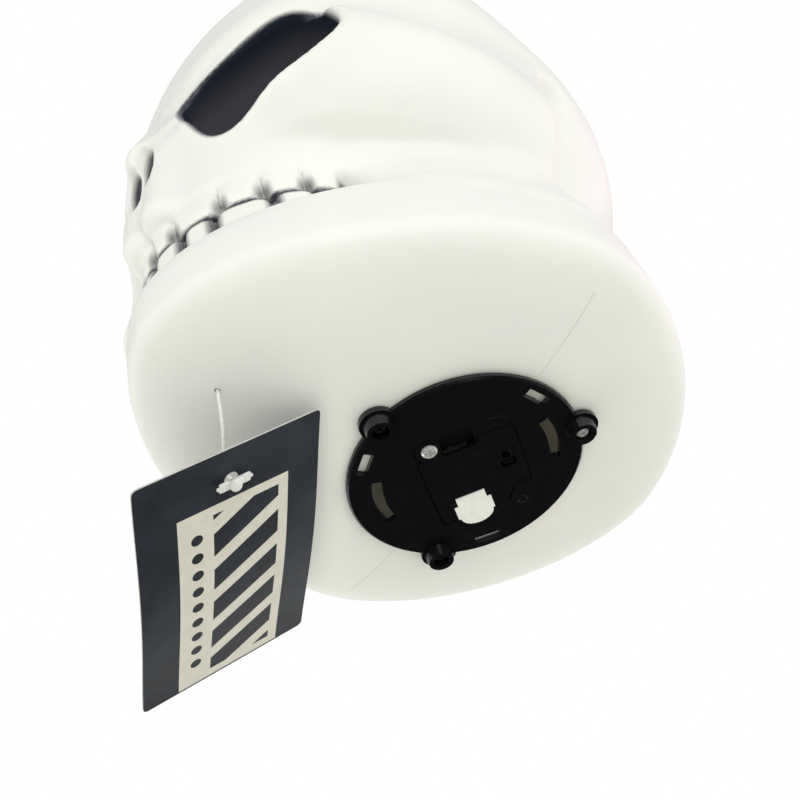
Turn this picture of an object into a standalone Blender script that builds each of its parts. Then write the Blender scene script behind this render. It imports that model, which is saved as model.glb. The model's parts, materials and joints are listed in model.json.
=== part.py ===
"""Light-up skull ornament: a blow-moulded skull standing on a round battery base, with a hang tag.

The origin is on the base plate's axis, in the plate's flat outer face. +Z is up, the face looks
along -Y, and +X is the skull's own left. Dimensions are in millimetres and are scaled by MM. Heights
are counted from the tips of the feet, and the empty foot_plane carries the whole model down by the
height of the plate's face.
"""

import math

import bmesh
import bpy
import numpy as np
from mathutils import Matrix, Vector

MM = 0.001
GAP = 0.3

# Base plate and feet
PLATE_RADIUS = 34.45
PLATE_FACE_Z = 3.1
PLATE_TOP_Z = 4.9
RIM_CHAMFER = 0.6
FOOT_CIRCLE = 34.0
FOOT_ANGLES = (39.0, 159.0, 279.0)
FOOT_TIP_RADIUS = 3.8
FOOT_ROOT_RADIUS = 4.5
FOOT_BORE_RADIUS = 2.45
FOOT_SEAT_Z = 3.4
LOBE_RADIUS = 5.35
CLEARANCE_HOLE_RADIUS = 1.6
PIP_CIRCLE = 27.6
SLOT_ANGLES = (4.0, 132.0, 254.0)
SLOT_CIRCLE = 30.5
SLOT_LENGTH = 7.6
SLOT_WIDTH = 3.0
ARC_SLOT_RADII = (24.4, 27.4)
ARC_SLOT_SPANS = ((21.0, 56.0), (202.0, 240.0))

# Skull shell
SKULL_FLOOR_Z = PLATE_TOP_Z + GAP
SKULL_WALL = 2.4
SKULL_MIDDLE_Z = 92.0
SKULL_HOLE_RADIUS = 29.0
SKULL_COLUMNS = 64
SKULL_ROWS = 44
FRONT_CROWDING = 0.4
STEEPEST_WALL = 0.4
EVENED_ABOVE = -0.55
JAW_WIDEST_Z = 20.0
JAW_HALF_WIDTH = 72.3
JAW_FRONT = 98.0
JAW_BACK = 77.0
PLAN_POWER = 1.75
ARCH_HALF_WIDTH = 43.5
ARCH_DEPTH = 44.0
ARCH_START = -48.0
BITE_Z = 50.0
SOCKET = (42.3, -69, 107)
SOCKET_TURN = 32.5
SOCKET_TILT = 12.0
PIERCING = (-3.8, -75.6)
PIERCING_RADIUS = 1.3

# Battery door, in the plate's turned frame: u across, v along the cells
PLATE_TURN = FOOT_ANGLES[0]
DOOR_THICKNESS = 1.4
DOOR_SCREW = (-7.5, -13.2)
DOOR_LOBE_RADIUS = 4.2
SEAT_TOP_Z = 6.3
CELL_RADIUS = 5.8
CELL_THICKNESS = 5.2
CELL_COUNT = 3
CELL_U = -1.7
CELL_Z = 10.9
FIRST_CELL_V = -7.0
POCKET_V = (-9.6, 10.6)
POCKET_HALF_WIDTH = 6.15
POCKET_TOP_Z = 17.1
BOX_WALL = 1.4
TAB_V = 9.45
TAB_THICKNESS = 0.25
TAB_WIDTH = 8.8

# Slide switch
SWITCH_U = 12.0
SWITCH_V = 1.0
SWITCH_WINDOW = (4.4, 6.8)
SWITCH_BODY = (3.8, 8.6, 3.6)
SWITCH_BODY_Z = 6.9
KNOB_OFF_V = 2.2
KNOB_SIZE = (2.6, 2.4)

# Circuit board
BOARD_Z = 23.0
BOARD_THICKNESS = 1.6
BOARD_SIZE = (31.0, 23.0)
POSTS = ((12.0, -8.6), (-12.6, 7.6))
POST_RADIUS = 2.5
LED_PLACES = ((-6.0, -4.0), (4.5, -4.0), (0.0, 5.5))

# Hang tag
CARD_SIZE = (54.2, 86.7)
CARD_THICKNESS = 0.45
CARD_TURN = 63.4
CARD_TILT = 27.45
CARD_HOLE_DROP = 9.85
CARD_HOLE = (-14.2, -69.0, -10.3)
CARD_HOLE_RADIUS = 2.0
FILAMENT_RADIUS = 0.5
BAR_Z = 17.0
BAR_REACH = 3.4
BAR_RADIUS = 0.75
PADDLE_SIZE = (9.6, 3.0)
PADDLE_OFFSET = 2.6

COLOURS = {
    "skull_plastic": ((0.86, 0.86, 0.82), 0.35, 0.0),
    "black_plastic": ((0.012, 0.013, 0.017), 0.25, 0.0),
    "steel": ((0.62, 0.62, 0.62), 0.3, 1.0),
    "film": ((0.88, 0.88, 0.86), 0.45, 0.0),
    "board": ((0.05, 0.22, 0.08), 0.45, 0.0),
    "led": ((0.92, 0.9, 0.95), 0.1, 0.0),
    "red_wire": ((0.6, 0.03, 0.02), 0.4, 0.0),
    "black_wire": ((0.02, 0.02, 0.02), 0.4, 0.0),
    "card": ((0.015, 0.018, 0.028), 0.55, 0.0),
    "nylon": ((0.9, 0.9, 0.88), 0.3, 0.0),
}


# ---------------------------------------------------------------- scene helpers


def clear_scene():
    for obj in list(bpy.data.objects):
        bpy.data.objects.remove(obj, do_unlink=True)


def material(key):
    found = bpy.data.materials.get(key)
    if found:
        return found
    colour, roughness, metallic = COLOURS[key]
    made = bpy.data.materials.new(key)
    made.use_nodes = True
    shader = made.node_tree.nodes["Principled BSDF"]
    shader.inputs["Base Color"].default_value = (*colour, 1.0)
    shader.inputs["Roughness"].default_value = roughness
    shader.inputs["Metallic"].default_value = metallic
    return made


def add_object(name, bm, key, parent=None, smooth=None):
    """An object from a bmesh whose coordinates are millimetres."""
    bmesh.ops.scale(bm, vec=(MM, MM, MM), verts=bm.verts)
    bmesh.ops.recalc_face_normals(bm, faces=bm.faces)
    mesh = bpy.data.meshes.new(name)
    bm.to_mesh(mesh)
    bm.free()
    if smooth is not None:
        mesh.shade_smooth()
        mesh.set_sharp_from_angle(angle=math.radians(smooth))
    obj = bpy.data.objects.new(name, mesh)
    obj.data.materials.append(material(key))
    bpy.context.scene.collection.objects.link(obj)
    obj.parent = parent
    return obj


def add_empty(name, place=(0, 0, 0), turn=0.0, parent=None):
    empty = bpy.data.objects.new(name, None)
    empty.location = Vector(place) * MM
    empty.rotation_euler.z = math.radians(turn)
    empty.parent = parent
    bpy.context.scene.collection.objects.link(empty)
    return empty


def boolean(target, operation, tools):
    """Joins the helper solids to the target, or cuts them from it, in one modifier."""
    group = bpy.data.collections.new(f"{target.name}_{operation.lower()}")
    bpy.context.scene.collection.children.link(group)
    group.hide_render = True
    for tool in tools:
        bpy.context.scene.collection.objects.unlink(tool)
        group.objects.link(tool)
        tool.hide_render = True
        tool.display_type = "WIRE"
    modifier = target.modifiers.new(operation.lower(), "BOOLEAN")
    modifier.operation = operation
    modifier.operand_type = "COLLECTION"
    modifier.collection = group


# ---------------------------------------------------------------- shape helpers


def prism(outline, bottom, top):
    """A straight extrusion of a counter-clockwise outline between two heights."""
    bm = bmesh.new()
    low = [bm.verts.new((x, y, bottom)) for x, y in outline]
    high = [bm.verts.new((x, y, top)) for x, y in outline]
    bm.faces.new(low[::-1])
    bm.faces.new(high)
    for i in range(len(outline)):
        j = (i + 1) % len(outline)
        bm.faces.new((low[i], low[j], high[j], high[i]))
    return bm


def circle(centre, radius, count):
    return [
        (
            centre[0] + radius * math.cos(2 * math.pi * i / count),
            centre[1] + radius * math.sin(2 * math.pi * i / count),
        )
        for i in range(count)
    ]


def rectangle(centre, size):
    x, y = centre
    w, h = size[0] / 2, size[1] / 2
    return [(x - w, y - h), (x + w, y - h), (x + w, y + h), (x - w, y + h)]


def rounded(corners, radius, steps=3):
    """The outline with each corner replaced by an arc of the given radius."""
    points = []
    count = len(corners)
    for i, corner in enumerate(corners):
        here = Vector(corner)
        back = (Vector(corners[i - 1]) - here).normalized()
        ahead = (Vector(corners[(i + 1) % count]) - here).normalized()
        half = back.angle(ahead) / 2
        reach = radius / math.tan(half)
        middle = here + (back + ahead).normalized() * radius / math.sin(half)
        start = here + back * reach - middle
        end = here + ahead * reach - middle
        for k in range(steps + 1):
            arm = start.lerp(end, k / steps).normalized() * radius
            points.append(tuple(middle + arm))
    return points


def lathe(profile, segments, centre=(0.0, 0.0)):
    """A turned solid: profile points are (radius, z) from the bottom axis point to the top one."""
    bm = bmesh.new()
    rings = []
    for radius, z in profile:
        if radius == 0:
            rings.append([bm.verts.new((*centre, z))])
            continue
        rings.append([bm.verts.new((x, y, z)) for x, y in circle(centre, radius, segments)])
    for low, high in zip(rings, rings[1:]):
        for i in range(segments):
            j = (i + 1) % segments
            corners = {low[i % len(low)]: 0, low[j % len(low)]: 0, high[j % len(high)]: 0, high[i % len(high)]: 0}
            bm.faces.new(list(corners))
    return bm


def sweep(path, radius, sides=8):
    """A round bar along the path's points, with flat ends."""
    points = [Vector(p) for p in path]
    bm = bmesh.new()
    rings = []
    across = Vector((0.31, 0.95, 0.05))
    for i, point in enumerate(points):
        ahead = points[min(i + 1, len(points) - 1)] - points[max(i - 1, 0)]
        ahead.normalize()
        across = (across - ahead * across.dot(ahead)).normalized()
        up = ahead.cross(across)
        ring = []
        for k in range(sides):
            angle = 2 * math.pi * k / sides
            ring.append(bm.verts.new(point + radius * (across * math.cos(angle) + up * math.sin(angle))))
        rings.append(ring)
    bm.faces.new(rings[0][::-1])
    bm.faces.new(rings[-1])
    for low, high in zip(rings, rings[1:]):
        for k in range(sides):
            j = (k + 1) % sides
            bm.faces.new((low[k], low[j], high[j], high[k]))
    return bm


def bend(points, steps=5):
    """A smooth curve through the given points (Catmull-Rom)."""
    ends = [Vector(p) for p in points]
    ends = [2 * ends[0] - ends[1], *ends, 2 * ends[-1] - ends[-2]]
    curve = []
    for a, b, c, d in zip(ends, ends[1:], ends[2:], ends[3:]):
        for k in range(steps):
            t = k / steps
            curve.append(
                0.5 * (2 * b + (c - a) * t + (2 * a - 5 * b + 4 * c - d) * t**2 + (3 * b - a - 3 * c + d) * t**3)
            )
    curve.append(ends[-2])
    return curve


def polar(radius, degrees):
    return radius * math.cos(math.radians(degrees)), radius * math.sin(math.radians(degrees))


# ---------------------------------------------------------------- skull surface


def length(v):
    return np.sqrt((v * v).sum(-1))


def smooth_step(low, high, value):
    t = np.clip((value - low) / (high - low), 0, 1)
    return t * t * (3 - 2 * t)


def turned(p, centre, turn):
    """Points seen from a centre, in axes turned about the vertical."""
    q = p - np.array(centre, float)
    a = math.radians(turn)
    x = q[..., 0] * math.cos(a) + q[..., 1] * math.sin(a)
    y = q[..., 1] * math.cos(a) - q[..., 0] * math.sin(a)
    return np.stack([x, y, q[..., 2]], -1)


def ellipsoid(p, centre, radii, turn=0.0):
    q = turned(p, centre, turn)
    r = np.array(radii, float)
    k = length(q / r)
    return k * (k - 1) / np.maximum(length(q / (r * r)), 1e-9)


def capsule(p, start, end, radius):
    a = np.array(start, float)
    along = np.array(end, float) - a
    t = np.clip((p - a) @ along / (along @ along), 0, 1)
    return length(p - a - t[..., None] * along) - radius


def blend(a, b, reach):
    """Union of two distances, with a fillet of about the given reach."""
    h = np.clip(0.5 + 0.5 * (b - a) / reach, 0, 1)
    return b * (1 - h) + a * h - reach * h * (1 - h)


def common(a, b, reach):
    return -blend(-a, -b, reach)


def carve(a, b, reach):
    return -blend(-a, b, reach)


def plan(x, y, half_width, front, back):
    """1 on an egg-shaped outline, less inside it."""
    long = np.where(y < 0, front, back)
    return ((x / half_width) ** PLAN_POWER + (np.abs(y) / long) ** PLAN_POWER) ** (1 / PLAN_POWER)


def jaw_plan(x, y):
    half_width = JAW_HALF_WIDTH - 2.5 * np.clip(-y / JAW_FRONT, 0, 1) ** 2
    return plan(x, y, half_width, JAW_FRONT, JAW_BACK)


def tub(x, y, z):
    """The massive jaw and floor."""
    below = z < JAW_WIDEST_Z
    height = np.where(below, JAW_WIDEST_Z - SKULL_FLOOR_Z + 0.6, 36 + 0.10 * y)
    power = np.where(below, 2.8, 4.5)
    return ((jaw_plan(x, y) ** power + (np.abs(z - JAW_WIDEST_Z) / height) ** power) ** (1 / power) - 1) * 60


def arch(x, y):
    """Distance-like value from the row of teeth, negative behind it."""
    return (plan(x, np.minimum(y - ARCH_START, 0), ARCH_HALF_WIDTH, ARCH_DEPTH, ARCH_DEPTH) - 1) * ARCH_HALF_WIDTH


def cranium(p):
    d = ellipsoid(p, (0, 8, 137), (81, 85, 77))
    d = blend(d, ellipsoid(p, (0, -22, 152), (80, 58, 58)), 20)
    d = blend(d, ellipsoid(p, (0, 34, 72), (58, 44, 50)), 16)
    d = blend(d, ellipsoid(p, (30, -61, 136), (28, 16, 11), 18), 14)
    return blend(d, ellipsoid(p, (0, -42, 100), (50, 46, 44)), 12)


def cheek(p, x, y, z):
    """Cheekbone and arch: cut off below along a ridge, and behind by the ear."""
    low = p.copy()
    low[..., 2] += 0.7 * np.maximum(z - 105.7, 0)
    bone = ellipsoid(low, (23, -44.4, 105.7), (50.7, 43.6, 44.2), -27)
    bone = common(bone, 0.62 * x - 0.78 * y - 94.5, 4)
    bone = blend(bone, ellipsoid(p, (45.7, 0.9, 96), (34.8, 71, 33.2), 9.7), 8)
    bone = common(bone, 70 - 0.1 * (y + 40) - z, 1.4)
    return common(bone, y - 9, 6)


def jaw_wall(x, y, z):
    """The side of the jaw, which leans in from its rim up to the cheek's ridge."""
    rise = np.clip((z - 40) / 30, 0, 1)
    lean = 0.985 - rise * (0.066 + 0.05 * np.clip(-y / 46, 0, 1))
    d = common((jaw_plan(x, y) - lean) * 62, np.abs(z - 56) - 21, 4)
    d = common(d, -y - 50, 8)
    return common(d, y - 12, 10)


def upper_jaw(x, y, z):
    d = common(arch(x, y) + 0.5, np.abs(z - 78) - 17, 5)
    return common(d, y + 30, 8)


def mouth_core(x, y, z):
    """What closes the mouth behind the teeth."""
    d = common(arch(x, y) + 6.0, np.abs(z - BITE_Z) - 20, 4)
    return common(d, y + 20, 8)


def in_socket(p):
    """Points in the socket's own axes: across it, into the head, and up."""
    q = turned(p, SOCKET, SOCKET_TURN)
    a = math.radians(SOCKET_TILT)
    across = q[..., 0] * math.cos(a) + q[..., 2] * math.sin(a)
    up = q[..., 2] * math.cos(a) - q[..., 0] * math.sin(a)
    return np.stack([across, q[..., 1], up], -1)


def skull(p):
    """Distance-like value, negative inside the skull's outer surface."""
    p = p.copy()
    p[..., 0] = np.abs(p[..., 0])
    x, y, z = p[..., 0], p[..., 1], p[..., 2]
    d = blend(cranium(p), cheek(p, x, y, z), 3 + 13 * smooth_step(84, 124, z))
    d = blend(d, jaw_wall(x, y, z), 8)
    d = blend(d, upper_jaw(x, y, z), 7)
    d = blend(d, mouth_core(x, y, z), 3)
    d = blend(d, capsule(p, (0, -78, 134), (0, -90, 106), 7), 9)
    d = blend(d, capsule(p, (9, -85, 106), (6, -91, 66), 6), 5)
    d = blend(d, tub(x, y, z), 8)
    d = carve(d, ellipsoid(in_socket(p), (0, -13, 0), (27, 26, 23)), 5)
    d = carve(d, ellipsoid(p, (4.5, -98, 93), (7, 13, 15)), 4)
    return common(d, SKULL_FLOOR_Z - z, 1.0)


def outermost(out):
    """How far each ray from the skull's middle runs before it leaves the surface for the last time."""
    middle = np.array((0.0, 0.0, SKULL_MIDDLE_Z))
    step = 2.5
    low = np.full(out.shape[:-1], 20.0)
    for reach in np.arange(20.0, 150.0, step):
        low = np.where(skull(middle + out * reach) < 0, reach, low)
    high = low + step
    for _ in range(12):
        half = (low + high) / 2
        inside = skull(middle + out * half[..., None]) < 0
        low = np.where(inside, half, low)
        high = np.where(inside, high, half)
    return low


def evened(reach):
    """Each ray's reach averaged with its neighbours', which rounds rims too steep for the rays."""
    around = (np.roll(reach, 1, 1) + 2 * reach + np.roll(reach, -1, 1)) / 4
    padded = np.concatenate([around[:1], around, around[-1:]])
    return (padded[:-2] + 2 * around + padded[2:]) / 4


def facing(points, out):
    """Cosine between the surface's normal and the ray at each point."""
    step = 0.5
    slopes = [skull(points + axis) - skull(points - axis) for axis in np.eye(3) * step]
    normal = np.stack(slopes, -1)
    return (normal * out).sum(-1) / np.maximum(length(normal), 1e-6)


def shell_rows(around, up):
    """Outer and inner points on the same rays, so that the two walls never cross."""
    middle = np.array((0.0, 0.0, SKULL_MIDDLE_Z))
    out = np.stack([np.cos(up) * np.cos(around), np.cos(up) * np.sin(around), np.sin(up)], -1)
    reach = outermost(out)
    reach = np.where(up > EVENED_ABOVE, evened(evened(reach)), reach)
    outside = middle + out * reach[..., None]
    wall = SKULL_WALL / np.maximum(facing(outside, out), STEEPEST_WALL)
    return outside, middle + out * (reach - wall)[..., None]


def make_skull():
    t = np.linspace(0, 2 * math.pi, SKULL_COLUMNS, endpoint=False)
    around = t - FRONT_CROWDING * np.sin(t) - math.pi / 2
    hole = math.atan2(SKULL_FLOOR_Z - SKULL_MIDDLE_Z, SKULL_HOLE_RADIUS)
    up = np.linspace(hole, math.pi / 2, SKULL_ROWS + 1)[:-1]
    walls = shell_rows(*np.meshgrid(around, up))
    crowns = shell_rows(np.zeros((1, 1)), np.full((1, 1), math.pi / 2))
    bm = bmesh.new()
    edges = []
    for grid, crown, floor in zip(walls, crowns, (SKULL_FLOOR_Z, SKULL_FLOOR_Z + SKULL_WALL)):
        grid[0, :, 0] = SKULL_HOLE_RADIUS * np.cos(around)
        grid[0, :, 1] = SKULL_HOLE_RADIUS * np.sin(around)
        grid[0, :, 2] = floor
        rings = [[bm.verts.new(point) for point in row] for row in grid]
        top = bm.verts.new(crown[0, 0])
        for low, high in zip(rings, rings[1:]):
            for i in range(SKULL_COLUMNS):
                bm.faces.new((low[i - 1], low[i], high[i]))
                bm.faces.new((low[i - 1], high[i], high[i - 1]))
        for i in range(SKULL_COLUMNS):
            bm.faces.new((rings[-1][i - 1], rings[-1][i], top))
        edges.append(rings[0])
    outer, inner = edges
    for i in range(SKULL_COLUMNS):
        bm.faces.new((outer[i - 1], inner[i - 1], inner[i], outer[i]))
    shell = add_object("skull_shell", bm, "skull_plastic", smooth=50)
    holes = [lathe_cutter("pilot", polar(FOOT_CIRCLE, angle), CLEARANCE_HOLE_RADIUS, 0, 12) for angle in FOOT_ANGLES]
    holes.append(lathe_cutter("piercing", PIERCING, PIERCING_RADIUS, 0, 20))
    boolean(shell, "DIFFERENCE", holes)


def lathe_cutter(name, centre, radius, bottom, top, segments=20):
    return add_object(name, prism(circle(centre, radius, segments), bottom, top), "steel")


# ---------------------------------------------------------------- base plate


def door_outline(inset=0.0):
    """The battery door's outline in the plate's turned frame, with its stepped lower corner."""
    corners = [
        (-12.0 + inset, 17.8 - inset),
        (-12.0 + inset, -9.9 + inset),
        (6.0 + inset, -9.9 + inset),
        (6.0 + inset, -11.9 + inset),
        (16.6 - inset, -11.9 + inset),
        (16.6 - inset, 12.2 - inset),
        (11.0 - inset, 12.2 - inset),
        (8.6 - inset, 17.8 - inset),
    ]
    return rounded(corners, 0.8)


def pocket_outline():
    """The finger pocket beside the door: straight along the door, rounded at its far corners."""
    return rounded([(-4.2, -9.0), (-4.2, -15.6), (-2.4, -17.0), (3.6, -17.0), (5.4, -15.6), (5.4, -9.0)], 0.5)


def arc_outline(radii, span, steps=6):
    angles = [span[0] + (span[1] - span[0]) * k / steps for k in range(steps + 1)]
    return [polar(radii[1], a) for a in angles] + [polar(radii[0], a) for a in reversed(angles)]


def radial_block(name, angle, radii, half_width, bottom, top, key="black_plastic"):
    """A block standing on a radius of the plate."""
    block = add_object(name, prism(rectangle(((radii[0] + radii[1]) / 2, 0), (radii[1] - radii[0], 2 * half_width)),
                                   bottom, top), key)
    block.rotation_euler.z = math.radians(angle)
    return block


def snap_hook(angle):
    """A springy hook that passes through the skull's base hole and grips its edge."""
    bm = bmesh.new()
    outside = SKULL_HOLE_RADIUS - 0.4
    catch_z = SKULL_FLOOR_Z + SKULL_WALL + GAP
    profile = [
        (outside - 1.6, PLATE_TOP_Z - 0.8),
        (outside, PLATE_TOP_Z - 0.8),
        (outside, catch_z),
        (outside + 1.6, catch_z + 0.2),
        (outside - 0.4, catch_z + 2.6),
        (outside - 1.6, catch_z + 2.6),
    ]
    half = 2.6
    near = [bm.verts.new((r, -half, z)) for r, z in profile]
    far = [bm.verts.new((r, half, z)) for r, z in profile]
    bm.faces.new(near)
    bm.faces.new(far[::-1])
    for i in range(len(profile)):
        j = (i + 1) % len(profile)
        bm.faces.new((near[i], near[j], far[j], far[i]))
    hook = add_object("hook", bm, "black_plastic")
    hook.rotation_euler.z = math.radians(angle)
    return hook


def cell_pocket(growth):
    u = (CELL_U - POCKET_HALF_WIDTH - growth, CELL_U + POCKET_HALF_WIDTH + growth)
    v = (POCKET_V[0] - growth, POCKET_V[1] + growth)
    return [(u[0], v[0]), (u[1], v[0]), (u[1], v[1]), (u[0], v[1])]


def make_base_plate(turned):
    profile = [
        (0, PLATE_FACE_Z),
        (PLATE_RADIUS - RIM_CHAMFER, PLATE_FACE_Z),
        (PLATE_RADIUS, PLATE_FACE_Z + RIM_CHAMFER),
        (PLATE_RADIUS, PLATE_TOP_Z),
        (0, PLATE_TOP_Z),
    ]
    plate = add_object("base_plate", lathe(profile, 72), "black_plastic", smooth=30)
    adds = []
    cuts = []
    for angle in FOOT_ANGLES:
        centre = polar(FOOT_CIRCLE, angle)
        adds.append(add_object("lobe", prism(circle(centre, LOBE_RADIUS, 24), PLATE_FACE_Z + 0.02,
                                             PLATE_TOP_Z - 0.02), "black_plastic"))
        foot = [(0, 0), (FOOT_TIP_RADIUS, 0), (FOOT_ROOT_RADIUS, PLATE_FACE_Z + 0.6), (0, PLATE_FACE_Z + 0.6)]
        adds.append(add_object("foot", lathe(foot, 24, centre), "black_plastic"))
        adds.append(add_object("pip", prism(circle(polar(PIP_CIRCLE, angle), 0.6, 10), PLATE_FACE_Z - 0.5,
                                            PLATE_FACE_Z + 0.5), "black_plastic"))
        cuts.append(lathe_cutter("bore", centre, FOOT_BORE_RADIUS, -1, FOOT_SEAT_Z, 18))
        cuts.append(lathe_cutter("hole", centre, CLEARANCE_HOLE_RADIUS, FOOT_SEAT_Z - 1, PLATE_TOP_Z + 1, 12))
    for angle in SLOT_ANGLES:
        adds.append(snap_hook(angle))
        slot = (SLOT_CIRCLE - SLOT_WIDTH / 2, SLOT_CIRCLE + SLOT_WIDTH / 2)
        cuts.append(radial_block("slot", angle, slot, SLOT_LENGTH / 2, 2, PLATE_TOP_Z + 0.6))
    for span in ARC_SLOT_SPANS:
        cuts.append(add_object("arc_slot", prism(arc_outline(ARC_SLOT_RADII, span)[::-1], 2, 6), "black_plastic"))

    seat = rounded([(-13.6, 19.4), (-13.6, -18.6), (18.2, -18.6), (18.2, 13.8), (11.6, 19.4)], 1.0)
    adds.append(add_object("seat", prism(seat, PLATE_TOP_Z - 0.1, SEAT_TOP_Z), "black_plastic", turned))
    box_top = POCKET_TOP_Z + BOX_WALL
    adds.append(add_object("box", prism(cell_pocket(BOX_WALL), PLATE_TOP_Z + 0.3, box_top), "black_plastic", turned))
    for post in POSTS:
        adds.append(add_object("post", prism(circle(post, POST_RADIUS, 14), PLATE_TOP_Z - 0.4, BOARD_Z - GAP),
                               "black_plastic", turned))
        cuts.append(add_object("post_pilot", prism(circle(post, 1.1, 12), 14, 30), "black_plastic", turned))
    screw_boss = circle(DOOR_SCREW, 3.2, 16)
    adds.append(add_object("screw_boss", prism(screw_boss, PLATE_TOP_Z, 11.0), "black_plastic", turned))

    cuts.append(add_object("door_opening", prism(door_outline(-GAP), 2, PLATE_FACE_Z + DOOR_THICKNESS + GAP),
                           "black_plastic", turned))
    lobe = circle(DOOR_SCREW, DOOR_LOBE_RADIUS + GAP, 28)
    cuts.append(add_object("lobe_opening", prism(lobe, 2, PLATE_FACE_Z + DOOR_THICKNESS + GAP), "black_plastic", turned))
    cuts.append(add_object("cell_opening", prism(cell_pocket(0), 3.9, POCKET_TOP_Z), "black_plastic", turned))
    knob_room = rectangle((SWITCH_U, SWITCH_V), (KNOB_SIZE[0] + 1.2, SWITCH_WINDOW[1] + 0.4))
    cuts.append(add_object("knob_opening", prism(knob_room, 3.8, 8), "black_plastic", turned))
    cuts.append(add_object("screw_pilot", prism(circle(DOOR_SCREW, 1.3, 14), 3.9, 10.2), "black_plastic", turned))
    cuts.append(add_object("finger_pocket", prism(pocket_outline(), 2, PLATE_TOP_Z + 0.5), "black_plastic", turned))
    for v in (POCKET_V[0] + 0.45, TAB_V + 0.7):
        slit = rectangle((CELL_U, v), (3.2, 0.8))
        cuts.append(add_object("tail_slit", prism(slit, POCKET_TOP_Z - 1, box_top + 1), "black_plastic", turned))
    for u in (-9.9, 6.4):
        notch = rectangle((u, 14.6), (2.6, 2.0))
        cuts.append(add_object("locating_notch", prism(notch, 3.9, 8), "black_plastic", turned))
    gate = add_object("gate_notch", prism(circle(polar(PLATE_RADIUS + 0.6, 226.0), 1.0, 12), 2, 6), "black_plastic")
    cuts.append(gate)
    boolean(plate, "UNION", adds)
    boolean(plate, "DIFFERENCE", cuts)


def phillips_cutters(name, centre, depth_z, span, width, parent=None, turn=0.0):
    """Two crossed bars that cut the driver recess into a screw head."""
    bars = []
    for extra in (0, 90):
        bar = add_object(f"{name}_cross", prism(rectangle((0, 0), (span, width)), *depth_z), "steel", parent)
        bar.location = Vector((*centre, 0)) * MM
        bar.rotation_euler.z = math.radians(turn + extra)
        bars.append(bar)
    return bars


def make_screw(name, centre, face_z, head, shank, tip_z, parent=None, turn=0.0):
    """A pan-head screw driven upwards; head and shank are (radius, length) and radius."""
    head_radius, head_height = head
    profile = [
        (0, face_z),
        (head_radius * 0.72, face_z),
        (head_radius, face_z + head_height * 0.55),
        (head_radius, face_z + head_height),
        (shank, face_z + head_height),
        (shank, tip_z - 1.2),
        (0, tip_z),
    ]
    screw = add_object(name, lathe(profile, 16, centre), "steel", parent, smooth=35)
    deep = (face_z - 1, face_z + head_height * 0.6)
    boolean(screw, "DIFFERENCE", phillips_cutters(name, centre, deep, head_radius * 1.25, head_radius * 0.3,
                                                  parent, turn))
    return screw


def make_base_screws():
    """The first screw stands a little proud of its seat; the other two are driven home."""
    for number, (angle, face_z) in enumerate(zip(FOOT_ANGLES, (0.9, 1.85, 1.85)), 1):
        make_screw(f"base_screw_{number}", polar(FOOT_CIRCLE, angle), face_z, (2.1, 1.4), 1.2, face_z + 9.2, turn=20)


# ---------------------------------------------------------------- battery door and power


def make_battery_door(turned):
    bottom = PLATE_FACE_Z
    top = PLATE_FACE_Z + DOOR_THICKNESS
    door = add_object("battery_door", prism(door_outline(), bottom, top), "black_plastic", turned)
    lobe = add_object("door_lobe", prism(circle(DOOR_SCREW, DOOR_LOBE_RADIUS, 28), bottom + 0.01, top - 0.01),
                      "black_plastic", turned)
    ribs = []
    for u in (-9.9, 6.4):
        rib = rectangle((u, 14.6), (2.0, 1.3))
        ribs.append(add_object("locating_rib", prism(rib, top - 0.5, top + 1.5), "black_plastic", turned))
    boolean(door, "UNION", [lobe, *ribs])
    window = rounded(rectangle((SWITCH_U, SWITCH_V), SWITCH_WINDOW), 0.3, 1)
    slit = rectangle((CELL_U, TAB_V), (TAB_WIDTH + 0.9, TAB_THICKNESS + 0.8))
    cuts = [
        add_object("switch_window", prism(window, 2, 6), "black_plastic", turned),
        add_object("tab_slit", prism(slit, 2, 6), "black_plastic", turned),
        add_object("door_screw_hole", prism(circle(DOOR_SCREW, 1.5, 16), 2, 6), "black_plastic", turned),
        add_object("door_screw_sink", prism(circle(DOOR_SCREW, 2.75, 24), 2, bottom + 0.55), "black_plastic", turned),
        add_object("pocket_side", prism(pocket_outline(), 2, 6), "black_plastic", turned),
    ]
    boolean(door, "DIFFERENCE", cuts)
    make_screw("battery_door_screw", DOOR_SCREW, bottom - 0.9, (2.3, 1.1), 1.0, 9.6, turned, turn=12)


def make_cells(turned):
    """Three button cells lying in a row, with their axes along the pocket."""
    for number in range(CELL_COUNT):
        start = FIRST_CELL_V + number * (CELL_THICKNESS + GAP)
        profile = [
            (0, 0),
            (CELL_RADIUS - 1.4, 0),
            (CELL_RADIUS - 1.2, 0.35),
            (CELL_RADIUS - 0.35, 0.45),
            (CELL_RADIUS, 0.8),
            (CELL_RADIUS, CELL_THICKNESS - 0.3),
            (CELL_RADIUS - 0.3, CELL_THICKNESS),
            (0, CELL_THICKNESS),
        ]
        cell = add_object(f"button_cell_{number + 1}", lathe(profile, 24), "steel", turned, smooth=35)
        cell.location = Vector((CELL_U, start, CELL_Z)) * MM
        cell.rotation_euler.x = math.radians(-90)


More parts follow.
